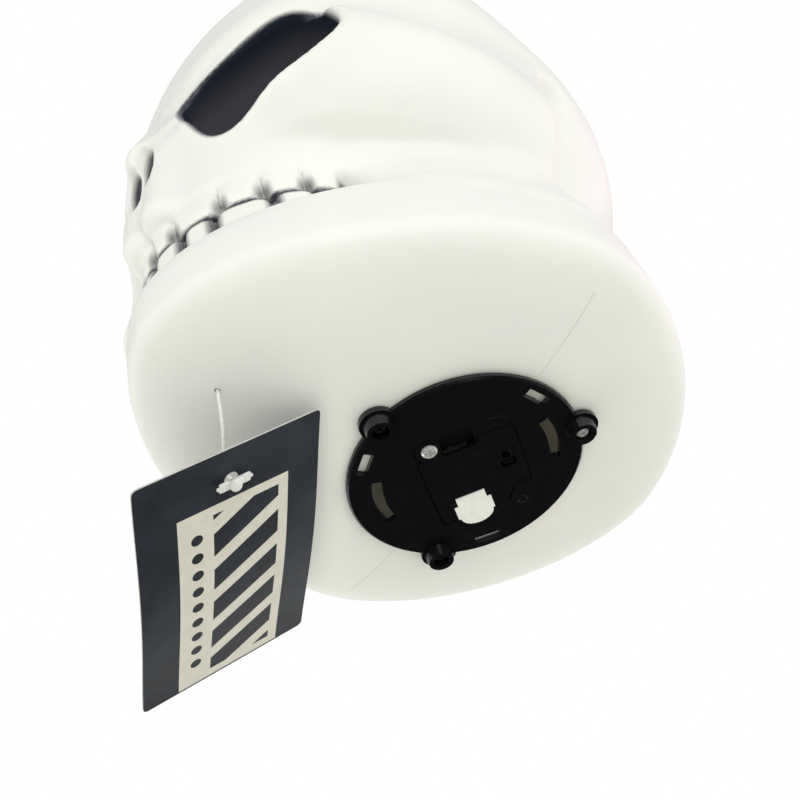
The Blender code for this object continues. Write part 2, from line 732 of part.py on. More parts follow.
def strip(name, profile, thickness, width, turned):
    """A bent metal or film strip: the profile is its centre line as (v, z) points, extruded along u."""
    points = [Vector(p) for p in profile]
    sides = []
    for i, point in enumerate(points):
        ahead = (points[min(i + 1, len(points) - 1)] - point).normalized()
        behind = (point - points[max(i - 1, 0)]).normalized()
        along = (ahead + behind).normalized()
        normal = Vector((-along.y, along.x))
        spread = thickness / 2 / max(0.5, normal.dot(Vector((-ahead.y, ahead.x))) if ahead.length else 1.0)
        sides.append((point + normal * spread, point - normal * spread))
    outline = [a for a, _ in sides] + [b for _, b in reversed(sides)]
    bm = bmesh.new()
    near = [bm.verts.new((CELL_U - width / 2, v, z)) for v, z in outline]
    far = [bm.verts.new((CELL_U + width / 2, v, z)) for v, z in outline]
    count = len(profile)
    for ring in (near, far):
        for i in range(count - 1):
            bm.faces.new((ring[i], ring[i + 1], ring[2 * count - 2 - i], ring[2 * count - 1 - i]))
    for i in range(2 * count):
        j = (i + 1) % (2 * count)
        bm.faces.new((near[i], near[j], far[j], far[i]))
    return add_object(name, bm, "steel", turned)


def make_contacts(turned):
    tail_top = POCKET_TOP_Z + BOX_WALL + 1.2
    spring_v = POCKET_V[0] + 0.45
    spring = [
        (FIRST_CELL_V - 0.45, CELL_Z - 1.5),
        (FIRST_CELL_V - 0.5, CELL_Z + 0.8),
        (spring_v + 0.9, CELL_Z - 4.2),
        (spring_v + 0.2, CELL_Z - 4.8),
        (spring_v, CELL_Z - 4.0),
        (spring_v, tail_top),
    ]
    strip("negative_contact", spring, 0.25, 2.4, turned)
    plate_v = TAB_V + 0.7
    strip("positive_contact", [(plate_v, CELL_Z - 4.5), (plate_v, tail_top)], 0.3, 2.4, turned)


def make_pull_tab(turned):
    """An insulating film: it stands between the last cell and its contact and folds over the door."""
    fold_z = PLATE_FACE_Z - 0.45
    profile = [(TAB_V, CELL_Z + 3.6), (TAB_V, fold_z + 0.5), (TAB_V + 0.45, fold_z), (TAB_V + 5.2, fold_z - 0.75),
               (TAB_V + 10.0, fold_z - 1.8)]
    tab = strip("battery_pull_tab", profile, TAB_THICKNESS, TAB_WIDTH + 2.4, turned)
    tab.data.materials[0] = material("film")
    end_v = TAB_V + 10.2
    flare = TAB_WIDTH / 2 + 0.6
    trims = []
    for side in (-1, 1):
        edge = CELL_U + side * TAB_WIDTH / 2
        outside = CELL_U + side * (TAB_WIDTH / 2 + 4)
        neck = [(edge, -20), (outside, -20), (outside, TAB_V + 2.4), (edge, TAB_V + 2.4)]
        tip = [(CELL_U + side * flare, end_v - 3.4)]
        for k in range(1, 6):
            turn = math.radians(90 * k / 5)
            tip.append((CELL_U + side * flare * math.cos(turn), end_v - 3.4 + 3.2 * math.sin(turn)))
        tip += [(CELL_U, end_v + 3), (outside + side, end_v + 3), (outside + side, end_v - 3.4)]
        for outline in (neck, tip):
            ordered = outline if side > 0 else outline[::-1]
            trims.append(add_object("tab_trim", prism(ordered, -4, 20), "film", turned))
    boolean(tab, "DIFFERENCE", trims)


# ---------------------------------------------------------------- switch, board and wiring


def make_switch(turned):
    bottom = SWITCH_BODY_Z
    u, v, z = SWITCH_BODY
    body = add_object("switch_body", prism(rectangle((SWITCH_U, SWITCH_V), (u, v)), bottom, bottom + z),
                      "steel", turned)
    room = rectangle((SWITCH_U, SWITCH_V), (KNOB_SIZE[0] - 0.4, 6.2))
    boolean(body, "DIFFERENCE", [add_object("switch_room", prism(room, bottom - 1, bottom + 2.2), "steel", turned)])
    track = add_empty("switch_track", (SWITCH_U, KNOB_OFF_V, 0), parent=turned)
    neck = add_object("switch_knob", prism(rectangle((0, 0), (KNOB_SIZE[0] - 1.0, 1.8)), 4.8, bottom + 1.8),
                      "black_plastic", track)
    cap = add_object("knob_cap", prism(rounded(rectangle((0, 0), KNOB_SIZE), 0.3, 1), 3.5, 5.2), "black_plastic", track)
    boolean(neck, "UNION", [cap])
    groove = add_object("knob_groove", prism(rectangle((0, 0), (KNOB_SIZE[0] + 1, 0.5)), 3, 3.9), "black_plastic", track)
    boolean(neck, "DIFFERENCE", [groove])


def make_board(turned):
    top = BOARD_Z + BOARD_THICKNESS
    board = add_object("circuit_board", prism(rounded(rectangle((0, 0), BOARD_SIZE), 2.0), BOARD_Z, top),
                       "board", turned)
    holes = [add_object("board_hole", prism(circle(post, 1.3, 16), 20, 28), "board", turned) for post in POSTS]
    boolean(board, "DIFFERENCE", holes)
    for number, post in enumerate(POSTS, 1):
        head = [
            (0, BOARD_Z - 6.5),
            (0.8, BOARD_Z - 5.6),
            (0.8, top + GAP),
            (1.9, top + GAP),
            (1.9, top + GAP + 0.7),
            (1.3, top + GAP + 1.3),
            (0, top + GAP + 1.3),
        ]
        screw = add_object(f"board_screw_{number}", lathe(head, 16, post), "steel", turned, smooth=35)
        deep = (top + GAP + 0.6, top + GAP + 2)
        boolean(screw, "DIFFERENCE", phillips_cutters(screw.name, post, deep, 2.2, 0.5, turned))
    for number, place in enumerate(LED_PLACES, 1):
        low = top + GAP
        dome = [(0, low), (2.9, low), (2.9, low + 1.0), (2.5, low + 1.0), (2.5, low + 6.1)]
        dome += [(2.5 * math.cos(math.radians(a)), low + 6.1 + 2.5 * math.sin(math.radians(a))) for a in (25, 50, 72)]
        dome.append((0, low + 8.6))
        add_object(f"led_{number}", lathe(dome, 14, place), "led", turned, smooth=35)
    low = top + GAP
    blob = [(0, low), (3.2, low), (2.9, low + 0.5), (2.0, low + 1.0), (0, low + 1.3)]
    add_object("control_chip", lathe(blob, 14, (9.4, 4.6)), "black_plastic", turned, smooth=60)
    resistor = rounded(rectangle((-8.5, 3.8), (1.6, 3.2)), 0.2, 1)
    add_object("resistor", prism(resistor, low, low + 0.6), "black_plastic", turned)


def make_wires(turned):
    under_board = BOARD_Z - GAP - 0.1
    over_tails = POCKET_TOP_Z + BOX_WALL + 2.1
    switch_top = SWITCH_BODY_Z + SWITCH_BODY[2] + GAP + 0.1
    plus = [(CELL_U, TAB_V + 0.7, over_tails), (CELL_U - 1.5, TAB_V - 0.4, over_tails + 0.8),
            (CELL_U - 3.4, TAB_V - 2.6, over_tails + 1.0), (CELL_U - 4.2, TAB_V - 3.6, under_board)]
    minus = [(CELL_U, POCKET_V[0] + 0.45, over_tails), (3.2, POCKET_V[0] + 1.6, over_tails + 0.7),
             (7.4, POCKET_V[0] + 4.2, over_tails - 1.2), (9.4, -3.4, 15.0), (SWITCH_U - 0.2, SWITCH_V - 2.2, switch_top)]
    feed = [(SWITCH_U, SWITCH_V + 2.6, switch_top), (SWITCH_U - 0.6, SWITCH_V + 3.6, 14.0),
            (SWITCH_U - 1.6, SWITCH_V + 4.2, 19.0), (SWITCH_U - 2.6, SWITCH_V + 4.0, under_board)]
    for name, points, key in (("positive_wire", plus, "red_wire"), ("negative_wire", minus, "black_wire"),
                              ("switch_wire", feed, "black_wire")):
        add_object(name, sweep(bend(points, 4), 0.55, 6), key, turned, smooth=50)


# ---------------------------------------------------------------- hang tag


def card_axes():
    """Unit vectors across the card, down its length, and out of its printed face."""
    turn, tilt = math.radians(CARD_TURN), math.radians(CARD_TILT)
    across = Vector((math.cos(turn) * math.cos(tilt), math.sin(turn) * math.cos(tilt), math.sin(tilt)))
    down = Vector((-math.sin(turn), math.cos(turn), 0))
    return across, down, down.cross(across)


def card_frame(origin):
    across, down, front = card_axes()
    turn = Matrix((across, down, -front)).transposed().to_4x4()
    return Matrix.Translation(origin * MM) @ turn


def make_hang_tag():
    width, height = CARD_SIZE
    outline = [
        (-width / 2, -CARD_HOLE_DROP),
        (width / 2, -CARD_HOLE_DROP),
        (width / 2, height - CARD_HOLE_DROP),
        (-width / 2, height - CARD_HOLE_DROP),
    ]
    half = CARD_THICKNESS / 2
    card = add_object("hang_tag", prism(outline, -half, half), "card")
    card.matrix_world = card_frame(Vector(CARD_HOLE))
    hole = add_object("tag_hole", prism(circle((0, 0), CARD_HOLE_RADIUS, 20), -2, 2), "card")
    hole.matrix_world = card_frame(Vector(CARD_HOLE))
    boolean(card, "DIFFERENCE", [hole])


def make_tag_fastener():
    """One moulded nylon piece: a bar inside the skull, a thin filament, and an oval paddle over the card.
    It is drawn round the piercing's axis, on which it swivels."""
    across, _, front = card_axes()
    pivot = add_empty("tag_pivot", (*PIERCING, 0))
    hole = Vector(CARD_HOLE) - Vector((*PIERCING, 0))
    path = [(0, 0, BAR_Z), (0, 0, 8.0), (0, 0, 5.4), (-2.6, 1.4, 0.2)]
    path += [hole - front * 4.0, hole, hole + front * PADDLE_OFFSET]
    filament = add_object("tag_fastener", sweep(bend(path, 3), FILAMENT_RADIUS, 6), "nylon", pivot, smooth=50)
    level = Vector((across.x, across.y, 0)).normalized()
    ends = [Vector((0, 0, BAR_Z)) + level * reach for reach in (-BAR_REACH, BAR_REACH)]
    bar = add_object("fastener_bar", sweep(ends, BAR_RADIUS, 10), "nylon", pivot)
    oval = rounded(rectangle((0, 0), PADDLE_SIZE), 1.4, 4)
    paddle = add_object("fastener_paddle", prism(oval, -0.6, 0.6), "nylon", pivot)
    paddle.matrix_basis = card_frame(hole + front * PADDLE_OFFSET)
    boolean(filament, "UNION", [bar, paddle])


def main():
    clear_scene()
    feet = add_empty("foot_plane", (0, 0, -PLATE_FACE_Z))
    turned = add_empty("plate_frame", turn=PLATE_TURN, parent=feet)
    make_skull()
    make_base_plate(turned)
    make_base_screws()
    make_battery_door(turned)
    make_cells(turned)
    make_contacts(turned)
    make_pull_tab(turned)
    make_switch(turned)
    make_board(turned)
    make_wires(turned)
    make_hang_tag()
    make_tag_fastener()
    for obj in bpy.data.objects:
        if obj.parent is None and obj is not feet:
            obj.parent = feet


main()
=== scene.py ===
"""Looks for the light-up skull ornament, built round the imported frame.

The frame's origin is in the base plate's outer face. Shapes here are worked out in millimetres with
heights counted from the tips of the feet, as the skull stands, and are then moved into the frame.
"""

import json
import math
from collections import namedtuple

import bmesh
import bpy
import numpy as np
import openvdb
from mathutils import Matrix, Vector


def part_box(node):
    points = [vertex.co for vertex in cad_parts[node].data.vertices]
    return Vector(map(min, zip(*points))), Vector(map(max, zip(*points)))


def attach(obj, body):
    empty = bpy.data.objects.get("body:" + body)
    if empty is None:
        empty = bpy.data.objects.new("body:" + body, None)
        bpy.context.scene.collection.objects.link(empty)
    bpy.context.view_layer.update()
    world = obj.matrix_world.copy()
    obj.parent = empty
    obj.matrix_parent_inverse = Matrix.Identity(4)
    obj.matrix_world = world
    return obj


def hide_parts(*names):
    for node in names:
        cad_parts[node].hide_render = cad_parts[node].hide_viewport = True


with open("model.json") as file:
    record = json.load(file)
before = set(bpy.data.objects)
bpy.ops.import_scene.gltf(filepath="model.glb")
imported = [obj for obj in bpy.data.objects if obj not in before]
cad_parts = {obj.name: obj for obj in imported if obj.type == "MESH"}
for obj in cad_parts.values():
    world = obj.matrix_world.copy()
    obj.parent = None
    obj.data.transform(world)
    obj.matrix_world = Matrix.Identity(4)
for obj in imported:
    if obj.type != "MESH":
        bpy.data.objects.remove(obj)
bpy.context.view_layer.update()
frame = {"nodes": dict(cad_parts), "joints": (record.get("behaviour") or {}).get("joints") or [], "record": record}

MM = 0.001
FEET_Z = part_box("base_plate")[0].z
JOINTS = {joint["name"]: joint for joint in frame["joints"]}

# ---------------------------------------------------------------- skull sizes
# Places are (towards the skull's own left, back, up). The left half is given, and the right mirrors it.

# A Lump is an ellipsoid, turned in degrees about the vertical, and a Rod is a round-ended bar. Each is
# joined on or cut in with its fillet. A Row of teeth has the gaps between its teeth, as distances
# across from the middle, and how far the middle of a tooth lies behind the row's front.
Lump = namedtuple("Lump", "centre radii turn fillet", defaults=(0, 0))
Rod = namedtuple("Rod", "start end radius fillet")
Row = namedtuple("Row", "gaps middle_z half_height inset")

FLOOR_Z = (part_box("skull_shell")[0].z - FEET_Z) / MM
WALL = 2.4
LEAST_WALL = 1.6
PLAN_POWER = 1.75

# Braincase and face
BRAINCASE = Lump((0, 8, 137), (81, 85, 77))
FOREHEAD = Lump((0, -22, 152), (80, 58, 58), fillet=20)
NAPE = Lump((0, 34, 72), (58, 44, 50), fillet=16)
BROW = Lump((30, -61, 136), (28, 16, 11), turn=18, fillet=14)
MIDDLE_FACE = Lump((0, -42, 100), (50, 46, 44), fillet=12)
NOSE_BRIDGE = Rod((0, -78, 134), (0, -90, 106), radius=7, fillet=9)
NOSE_SIDE = Rod((9, -85, 106), (6, -91, 66), radius=6, fillet=5)
NOSTRIL = Lump((4.5, -98, 94), (4.5, 10, 12), fillet=2)
EAR_GROOVE = Rod((76, 20, 66), (81, 21, 114), radius=9.5, fillet=3)
SOCKET = (40.2, -70.3, 106.2)
SOCKET_RADII = (25.6, 34, 21)
SOCKET_POWER = 4.0
SOCKET_TURN = 32.5
SOCKET_TILT = 18.0

# Cheek
CHEEKBONE = Lump((23, -44.4, 105.7), (50.7, 43.6, 44.2), turn=-27)
CHEEKBONE_SQUASH = 0.7
CHEEK_ARCH = Lump((45.7, 0.9, 96), (34.8, 71, 33.2), turn=9.7, fillet=8)
CHEEK_FLAT = (0.62, -0.78)
CHEEK_FLAT_DISTANCE = 94.5
CHEEK_RIDGE_Y = -40
CHEEK_RIDGE_Z = 70
CHEEK_RIDGE_SLOPE = 0.1
CHEEK_BACK = 9
CHEEK_FILLET_BELOW = 3
CHEEK_FILLET_ABOVE = 16
CHEEK_FILLET_Z = (84, 124)

# Jaw
JAW_HALF_WIDTH = 72.3
JAW_FRONT = 98.0
JAW_BACK = 77.0
JAW_FRONT_NARROWING = 2.5
JAW_WIDEST_Z = 20.0
JAW_FLOOR_BULGE = 0.6
JAW_RIM_HEIGHT = 36
JAW_RIM_SLOPE = 0.10
JAW_POWER_BELOW = 2.6
JAW_POWER_ABOVE = 4.5
JAW_MEAN_RADIUS = 60
SIDE_MEAN_RADIUS = 62
SIDE_SHARE = 0.985
SIDE_LEAN = 0.066
SIDE_LEAN_IN_FRONT = 0.05
SIDE_LEAN_Y = 46
SIDE_LEAN_START_Z = 40
SIDE_LEAN_HEIGHT = 30
SIDE_MIDDLE_Z = 56
SIDE_HALF_HEIGHT = 21
SIDE_FRONT = -50
SIDE_BACK = 12

# Mouth
ARCH_HALF_WIDTH = 43.5
ARCH_DEPTH = 44.0
ARCH_START = -48.0
BITE_Z = 50.0
UPPER_ROW = Row((0, 9, 22.5, 31.5, 38.3, 42.3), middle_z=57.0, half_height=7.6, inset=3.6)
LOWER_ROW = Row((0, 11.5, 20.5, 33, 39.5, 42.6), middle_z=43.5, half_height=8.2, inset=3.4)
TOOTH_GAP = 0.4
TOOTH_BULGE = 0.9
TOOTH_POWER = 3.2
GUM_AHEAD = 1.0
GUM_MIDDLE_Z = 78
GUM_HALF_HEIGHT = 17
GUM_BACK = -30
CORE_INSET = 6.0
CORE_HALF_HEIGHT = 20
CORE_BACK = -20

# Holes in the floor
HOLE_RADIUS = 29.0
FOOT_CIRCLE = 34.0
FOOT_ANGLES = (39.0, 159.0, 279.0)
PILOT_RADIUS = 1.6
PIERCING_RADIUS = 0.8

# Paint: no black at a fade's first value, full black at its second
SOCKET_DEPTH_FADE = (-12.0, -5.0)
SOCKET_EDGE_FADE = (2.6, 0.6)
NOSE_EDGE_FADE = (1.0, 0.0)
NOSE_DEPTH_FADE = (-93.5, -90.5)
MOUTH_REACH_FADE = (5.5, 3.5)
MOUTH_CORNER_FADE = (-50, -54)
MOUTH_TOP_FADE = (64, 60)
MOUTH_FOOT_FADE = (33, 36)
BITE_FADE = (1.9, 0.5)
UPPER_GAP_TOP_FADE = (61, 51)
GAP_FADE = (4.0, 0.2)
BEHIND_TEETH_FADE = (-2.0, -4.0)

# Going into a socket, its black paint turns paler between these two depths
DEEP_SOCKET_FADE = (-4, 12)


# ---------------------------------------------------------------- skull surface


def length(v):
    return np.sqrt((v * v).sum(-1))


def smooth_step(low, high, value):
    t = np.clip((value - low) / (high - low), 0, 1)
    return t * t * (3 - 2 * t)


def turned(p, centre, turn):
    """Points seen from a centre, in axes turned about the vertical."""
    q = p - np.array(centre, float)
    a = math.radians(turn)
    x = q[..., 0] * math.cos(a) + q[..., 1] * math.sin(a)
    y = q[..., 1] * math.cos(a) - q[..., 0] * math.sin(a)
    return np.stack([x, y, q[..., 2]], -1)


def ellipsoid(p, lump):
    q = turned(p, lump.centre, lump.turn)
    r = np.array(lump.radii, float)
    k = length(q / r)
    return k * (k - 1) / np.maximum(length(q / (r * r)), 1e-9)


def pillow(p, centre, radii, turn, power):
    """A rounded block: an ellipsoid with a higher power."""
    q = np.abs(turned(p, centre, turn) / np.array(radii, float))
    return ((q**power).sum(-1) ** (1 / power) - 1) * min(radii)


def capsule(p, rod):
    a = np.array(rod.start, float)
    along = np.array(rod.end, float) - a
    t = np.clip((p - a) @ along / (along @ along), 0, 1)
    return length(p - a - t[..., None] * along) - rod.radius


def blend(a, b, fillet):
    """Union of two distances, with a fillet of about the given reach."""
    h = np.clip(0.5 + 0.5 * (b - a) / fillet, 0, 1)
    return b * (1 - h) + a * h - fillet * h * (1 - h)


def common(a, b, fillet):
    return -blend(-a, -b, fillet)


def carve(a, b, fillet):
    return -blend(-a, b, fillet)


def plan(x, y, half_width, front, back):
    """1 on an egg-shaped outline, less inside it."""
    long = np.where(y < 0, front, back)
    return ((x / half_width) ** PLAN_POWER + (np.abs(y) / long) ** PLAN_POWER) ** (1 / PLAN_POWER)


def jaw_plan(x, y):
    half_width = JAW_HALF_WIDTH - JAW_FRONT_NARROWING * np.clip(-y / JAW_FRONT, 0, 1) ** 2
    return plan(x, y, half_width, JAW_FRONT, JAW_BACK)


def tub(x, y, z):
    """The massive jaw and floor."""
    below = z < JAW_WIDEST_Z
    height = np.where(below, JAW_WIDEST_Z - FLOOR_Z + JAW_FLOOR_BULGE, JAW_RIM_HEIGHT + JAW_RIM_SLOPE * y)
    power = np.where(below, JAW_POWER_BELOW, JAW_POWER_ABOVE)
    upright = np.abs(z - JAW_WIDEST_Z) / height
    return ((jaw_plan(x, y) ** power + upright**power) ** (1 / power) - 1) * JAW_MEAN_RADIUS


def arch_y(x):
    """The front of the row of teeth."""
    return ARCH_START - ARCH_DEPTH * (1 - (x / ARCH_HALF_WIDTH) ** PLAN_POWER) ** (1 / PLAN_POWER)


def arch(x, y):
    """Distance-like value from the row of teeth, negative behind it."""
    ahead = np.minimum(y - ARCH_START, 0)
    return (plan(x, ahead, ARCH_HALF_WIDTH, ARCH_DEPTH, ARCH_DEPTH) - 1) * ARCH_HALF_WIDTH


def teeth(p):
    """Pillow-shaped teeth, each between two gaps of its row."""
    d = np.full(p.shape[:-1], np.inf)
    for row in (UPPER_ROW, LOWER_ROW):
        for a, b in zip(row.gaps, row.gaps[1:]):
            ya, yb = arch_y(a), arch_y(b)
            turn = math.atan2(yb - ya, b - a)
            x = (a + b) / 2
            y = (arch_y(x) + (ya + yb) / 2) / 2
            centre = (x - row.inset * math.sin(turn), y + row.inset * math.cos(turn), row.middle_z)
            half_width = math.hypot(b - a, yb - ya) / 2 - TOOTH_GAP
            radii = (half_width, row.inset + TOOTH_BULGE, row.half_height)
            d = np.minimum(d, pillow(p, centre, radii, math.degrees(turn), TOOTH_POWER))
    return d


def cranium(p):
    d = ellipsoid(p, BRAINCASE)
    for lump in (FOREHEAD, NAPE, BROW, MIDDLE_FACE):
        d = blend(d, ellipsoid(p, lump), lump.fillet)
    return d


def cheek(p, x, y, z):
    """Cheekbone and arch: flattened outside, cut off below along a ridge, and behind by the ear."""
    squashed = p.copy()
    squashed[..., 2] += CHEEKBONE_SQUASH * np.maximum(z - CHEEKBONE.centre[2], 0)
    bone = ellipsoid(squashed, CHEEKBONE)
    bone = common(bone, CHEEK_FLAT[0] * x + CHEEK_FLAT[1] * y - CHEEK_FLAT_DISTANCE, fillet=4)
    bone = blend(bone, ellipsoid(p, CHEEK_ARCH), CHEEK_ARCH.fillet)
    bone = common(bone, CHEEK_RIDGE_Z - CHEEK_RIDGE_SLOPE * (y - CHEEK_RIDGE_Y) - z, fillet=1.4)
    return common(bone, y - CHEEK_BACK, fillet=6)


def jaw_wall(x, y, z):
    """The side of the jaw, which leans in from its rim up to the cheek's ridge."""
    rise = np.clip((z - SIDE_LEAN_START_Z) / SIDE_LEAN_HEIGHT, 0, 1)
    share = SIDE_SHARE - rise * (SIDE_LEAN + SIDE_LEAN_IN_FRONT * np.clip(-y / SIDE_LEAN_Y, 0, 1))
    outside = (jaw_plan(x, y) - share) * SIDE_MEAN_RADIUS
    d = common(outside, np.abs(z - SIDE_MIDDLE_Z) - SIDE_HALF_HEIGHT, fillet=4)
    d = common(d, SIDE_FRONT - y, fillet=8)
    return common(d, y - SIDE_BACK, fillet=10)


def upper_jaw(x, y, z):
    """What holds the upper teeth."""
    d = common(arch(x, y) - GUM_AHEAD, np.abs(z - GUM_MIDDLE_Z) - GUM_HALF_HEIGHT, fillet=5)
    return common(d, y - GUM_BACK, fillet=8)


def mouth_core(x, y, z):
    """What closes the mouth behind the teeth."""
    d = common(arch(x, y) + CORE_INSET, np.abs(z - BITE_Z) - CORE_HALF_HEIGHT, fillet=4)
    return common(d, y - CORE_BACK, fillet=8)


def in_socket(p):
    """Points in the socket's own axes: across it, into the head, and up."""
    q = turned(p, SOCKET, SOCKET_TURN)
    a = math.radians(SOCKET_TILT)
    across = q[..., 0] * math.cos(a) + q[..., 2] * math.sin(a)
    up = q[..., 2] * math.cos(a) - q[..., 0] * math.sin(a)
    return np.stack([across, q[..., 1], up], -1)


def sockets(p):
    return pillow(in_socket(p), (0, 0, 0), SOCKET_RADII, 0, SOCKET_POWER)


def skull(p, fine=True):
    """Distance-like value, negative inside the skull's outer surface."""
    p = p.copy()
    p[..., 0] = np.abs(p[..., 0])
    x, y, z = p[..., 0], p[..., 1], p[..., 2]
    softer = (CHEEK_FILLET_ABOVE - CHEEK_FILLET_BELOW) * smooth_step(*CHEEK_FILLET_Z, z)
    d = blend(cranium(p), cheek(p, x, y, z), CHEEK_FILLET_BELOW + softer)
    d = blend(d, jaw_wall(x, y, z), fillet=5)
    d = blend(d, upper_jaw(x, y, z), fillet=11)
    d = blend(d, mouth_core(x, y, z), fillet=3)
    for rod in (NOSE_BRIDGE, NOSE_SIDE):
        d = blend(d, capsule(p, rod), rod.fillet)
    d = blend(d, tub(x, y, z), fillet=3)
    if fine:
        d = blend(d, teeth(p), fillet=1.6)
    d = carve(d, sockets(p), fillet=4)
    d = carve(d, capsule(p, EAR_GROOVE), EAR_GROOVE.fillet)
    return carve(d, ellipsoid(p, NOSTRIL), NOSTRIL.fillet)


def plain_skull(p):
    """The skull without its teeth."""
    return skull(p, fine=False)


def slope(shape, points):
    """How fast the shape's value rises along each axis."""
    step = 0.15
    rises = [shape(points + axis) - shape(points - axis) for axis in np.eye(3) * step]
    return np.stack(rises, -1) / (2 * step)


# ---------------------------------------------------------------- skull mesh

# Grid lines as (start, stop, step) stretches: close over the face, wider elsewhere
GRID_X = ((0, 60, 1.25), (60, 88, 2.5))
GRID_Y = ((-106, -42, 1.2), (-42, -6, 2.0), (-6, 98, 3.2))
GRID_Z = ((1, 28, 2.4), (28, 134, 1.2), (134, 220, 3.2))
INSIDE_STEP = 4.0
INSIDE_GRID = (
    ((0, 88, INSIDE_STEP),),
    ((-106, 98, INSIDE_STEP),),
    ((-3, 220, INSIDE_STEP),),
)
CUT_BELOW_FLOOR = 4
CUT_ABOVE_FLOOR = 7
SURFACE_SLACK = 0.1


def runs(stretches):
    """Grid lines from stretches that follow one another."""
    lines = [np.arange(start, stop, step) for start, stop, step in stretches]
    return np.concatenate(lines + [[stretches[-1][1]]])


def contour(field, lines):
    """Vertices and quads of the surface where the sampled field is zero."""
    grid = openvdb.FloatGrid(4.0)
    grid.copyFromArray(np.ascontiguousarray(field, dtype=np.float32))
    points, quads = grid.convertToQuads(isovalue=0.0)
    places = [np.interp(points[:, k], np.arange(len(lines[k])), lines[k]) for k in range(3)]
    return np.stack(places, -1), quads


def sampled(shape, half_x, ys, zs):
    """The shape's values on a grid; only the left half is worked out, the right half mirrors it."""
    points = np.stack(np.meshgrid(half_x, ys, zs, indexing="ij"), -1)
    half = np.stack([shape(layer) for layer in points])
    return np.concatenate([half[:0:-1], half]), (np.concatenate([-half_x[:0:-1], half_x]), ys, zs)


def outer_surface():
    """The skull's outside, its points moved along the slope onto the true surface."""
    points, quads = contour(*sampled(skull, runs(GRID_X), runs(GRID_Y), runs(GRID_Z)))
    for _ in range(4):
        uphill = slope(skull, points)
        steep = np.maximum((uphill * uphill).sum(-1), 0.05)
        move = np.clip(skull(points) / steep, -1.0, 1.0)
        points = points - move[:, None] * uphill
    return points, quads


def inner_surface():
    """The shell's inside: one wall thickness further in, without the teeth."""
    field, lines = sampled(plain_skull, *(runs(stretches) for stretches in INSIDE_GRID))
    steep = length(np.stack(np.gradient(field, *lines), -1))
    points, quads = contour(field + WALL * np.clip(steep, 0.4, 1.5), lines)
    for _ in range(8):
        uphill = slope(plain_skull, points)
        steep = np.maximum((uphill * uphill).sum(-1), 0.1)
        too_near = np.clip(plain_skull(points) + LEAST_WALL, 0, 1.5)
        points = points - (too_near / steep)[:, None] * uphill
    return points, quads


def to_frame(points):
    return np.asarray(points) * MM + np.array((0, 0, FEET_Z))


def place(x, y, z):
    return Vector((x, y, z)) * MM + Vector((0, 0, FEET_Z))


def link(name, data):
    """A new object in the scene."""
    obj = bpy.data.objects.new(name, data)
    bpy.context.scene.collection.objects.link(obj)
    return obj


def mesh_object(name, points, faces):
    mesh = bpy.data.meshes.new(name)
    mesh.from_pydata(to_frame(points).tolist(), [], [list(map(int, f)) for f in faces])
    mesh.update()
    return link(name, mesh)


def cylinders(name, circles, bottom, top, segments):
    """Separate upright cylinders in one mesh, from (x, y, radius)."""
    points = []
    faces = []
    for x, y, radius in circles:
        start = len(points)
        for z in (bottom, top):
            for k in range(segments):
                a = 2 * math.pi * k / segments
                points.append((x + radius * math.cos(a), y + radius * math.sin(a), z))
        low = list(range(start, start + segments))
        high = [i + segments for i in low]
        faces += [low[::-1], high]
        faces += [(low[k - 1], low[k], high[k], high[k - 1]) for k in range(segments)]
    return mesh_object(name, points, faces)


def polar(radius, degrees):
    return radius * math.cos(math.radians(degrees)), radius * math.sin(math.radians(degrees))


def cut(target, *tools):
    """Subtracts each tool from the target and removes the tools."""
    for tool in tools:
        modifier = target.modifiers.new(tool.name, "BOOLEAN")
        modifier.operation = "DIFFERENCE"
        modifier.solver = "MANIFOLD"
        modifier.object = tool
    graph = bpy.context.evaluated_depsgraph_get()
    made = bpy.data.meshes.new_from_object(target.evaluated_get(graph))
    target.modifiers.clear()
    target.data = made
    for tool in tools:
        bpy.data.objects.remove(tool)


def paint_amount(p):
    """How much black paint covers each point of the left half: socket, nose and the gaps of the teeth."""
    x, y, z = p.T
    socket = smooth_step(*SOCKET_DEPTH_FADE, in_socket(p)[:, 1])
    socket = socket * smooth_step(*SOCKET_EDGE_FADE, sockets(p))
    nose = smooth_step(*NOSE_EDGE_FADE, ellipsoid(p, NOSTRIL)) * smooth_step(*NOSE_DEPTH_FADE, y)
    mouth = smooth_step(*MOUTH_REACH_FADE, np.abs(arch(x, y))) * smooth_step(*MOUTH_CORNER_FADE, y)
    mouth = mouth * smooth_step(*MOUTH_TOP_FADE, z) * smooth_step(*MOUTH_FOOT_FADE, z)
    gap = smooth_step(*BITE_FADE, np.abs(z - BITE_Z))
    upper = smooth_step(*UPPER_GAP_TOP_FADE, z) * (z > BITE_Z)
    lower = 1.0 * (z <= BITE_Z)
    for gaps, strength in ((UPPER_ROW.gaps, upper), (LOWER_ROW.gaps, lower)):
        for a in gaps:
            aside = np.hypot(x - a, y - arch_y(a))
            gap = np.maximum(gap, smooth_step(*GAP_FADE, aside) * strength)
    gap = np.maximum(gap, smooth_step(*BEHIND_TEETH_FADE, arch(x, y)))
    return np.clip(np.maximum.reduce([socket, nose, gap * mouth]), 0, 1)


def read(mesh, name):
    """A vector of each vertex: its place or its normal."""
    values = np.zeros(len(mesh.vertices) * 3)
    mesh.vertices.foreach_get(name, values)
    return values.reshape(-1, 3)


def store(mesh, name, values):
    """Keeps a number for each vertex, for the material to use."""
    attribute = mesh.attributes.new(name, "FLOAT", "POINT")
    attribute.data.foreach_set("value", values.astype(np.float32))


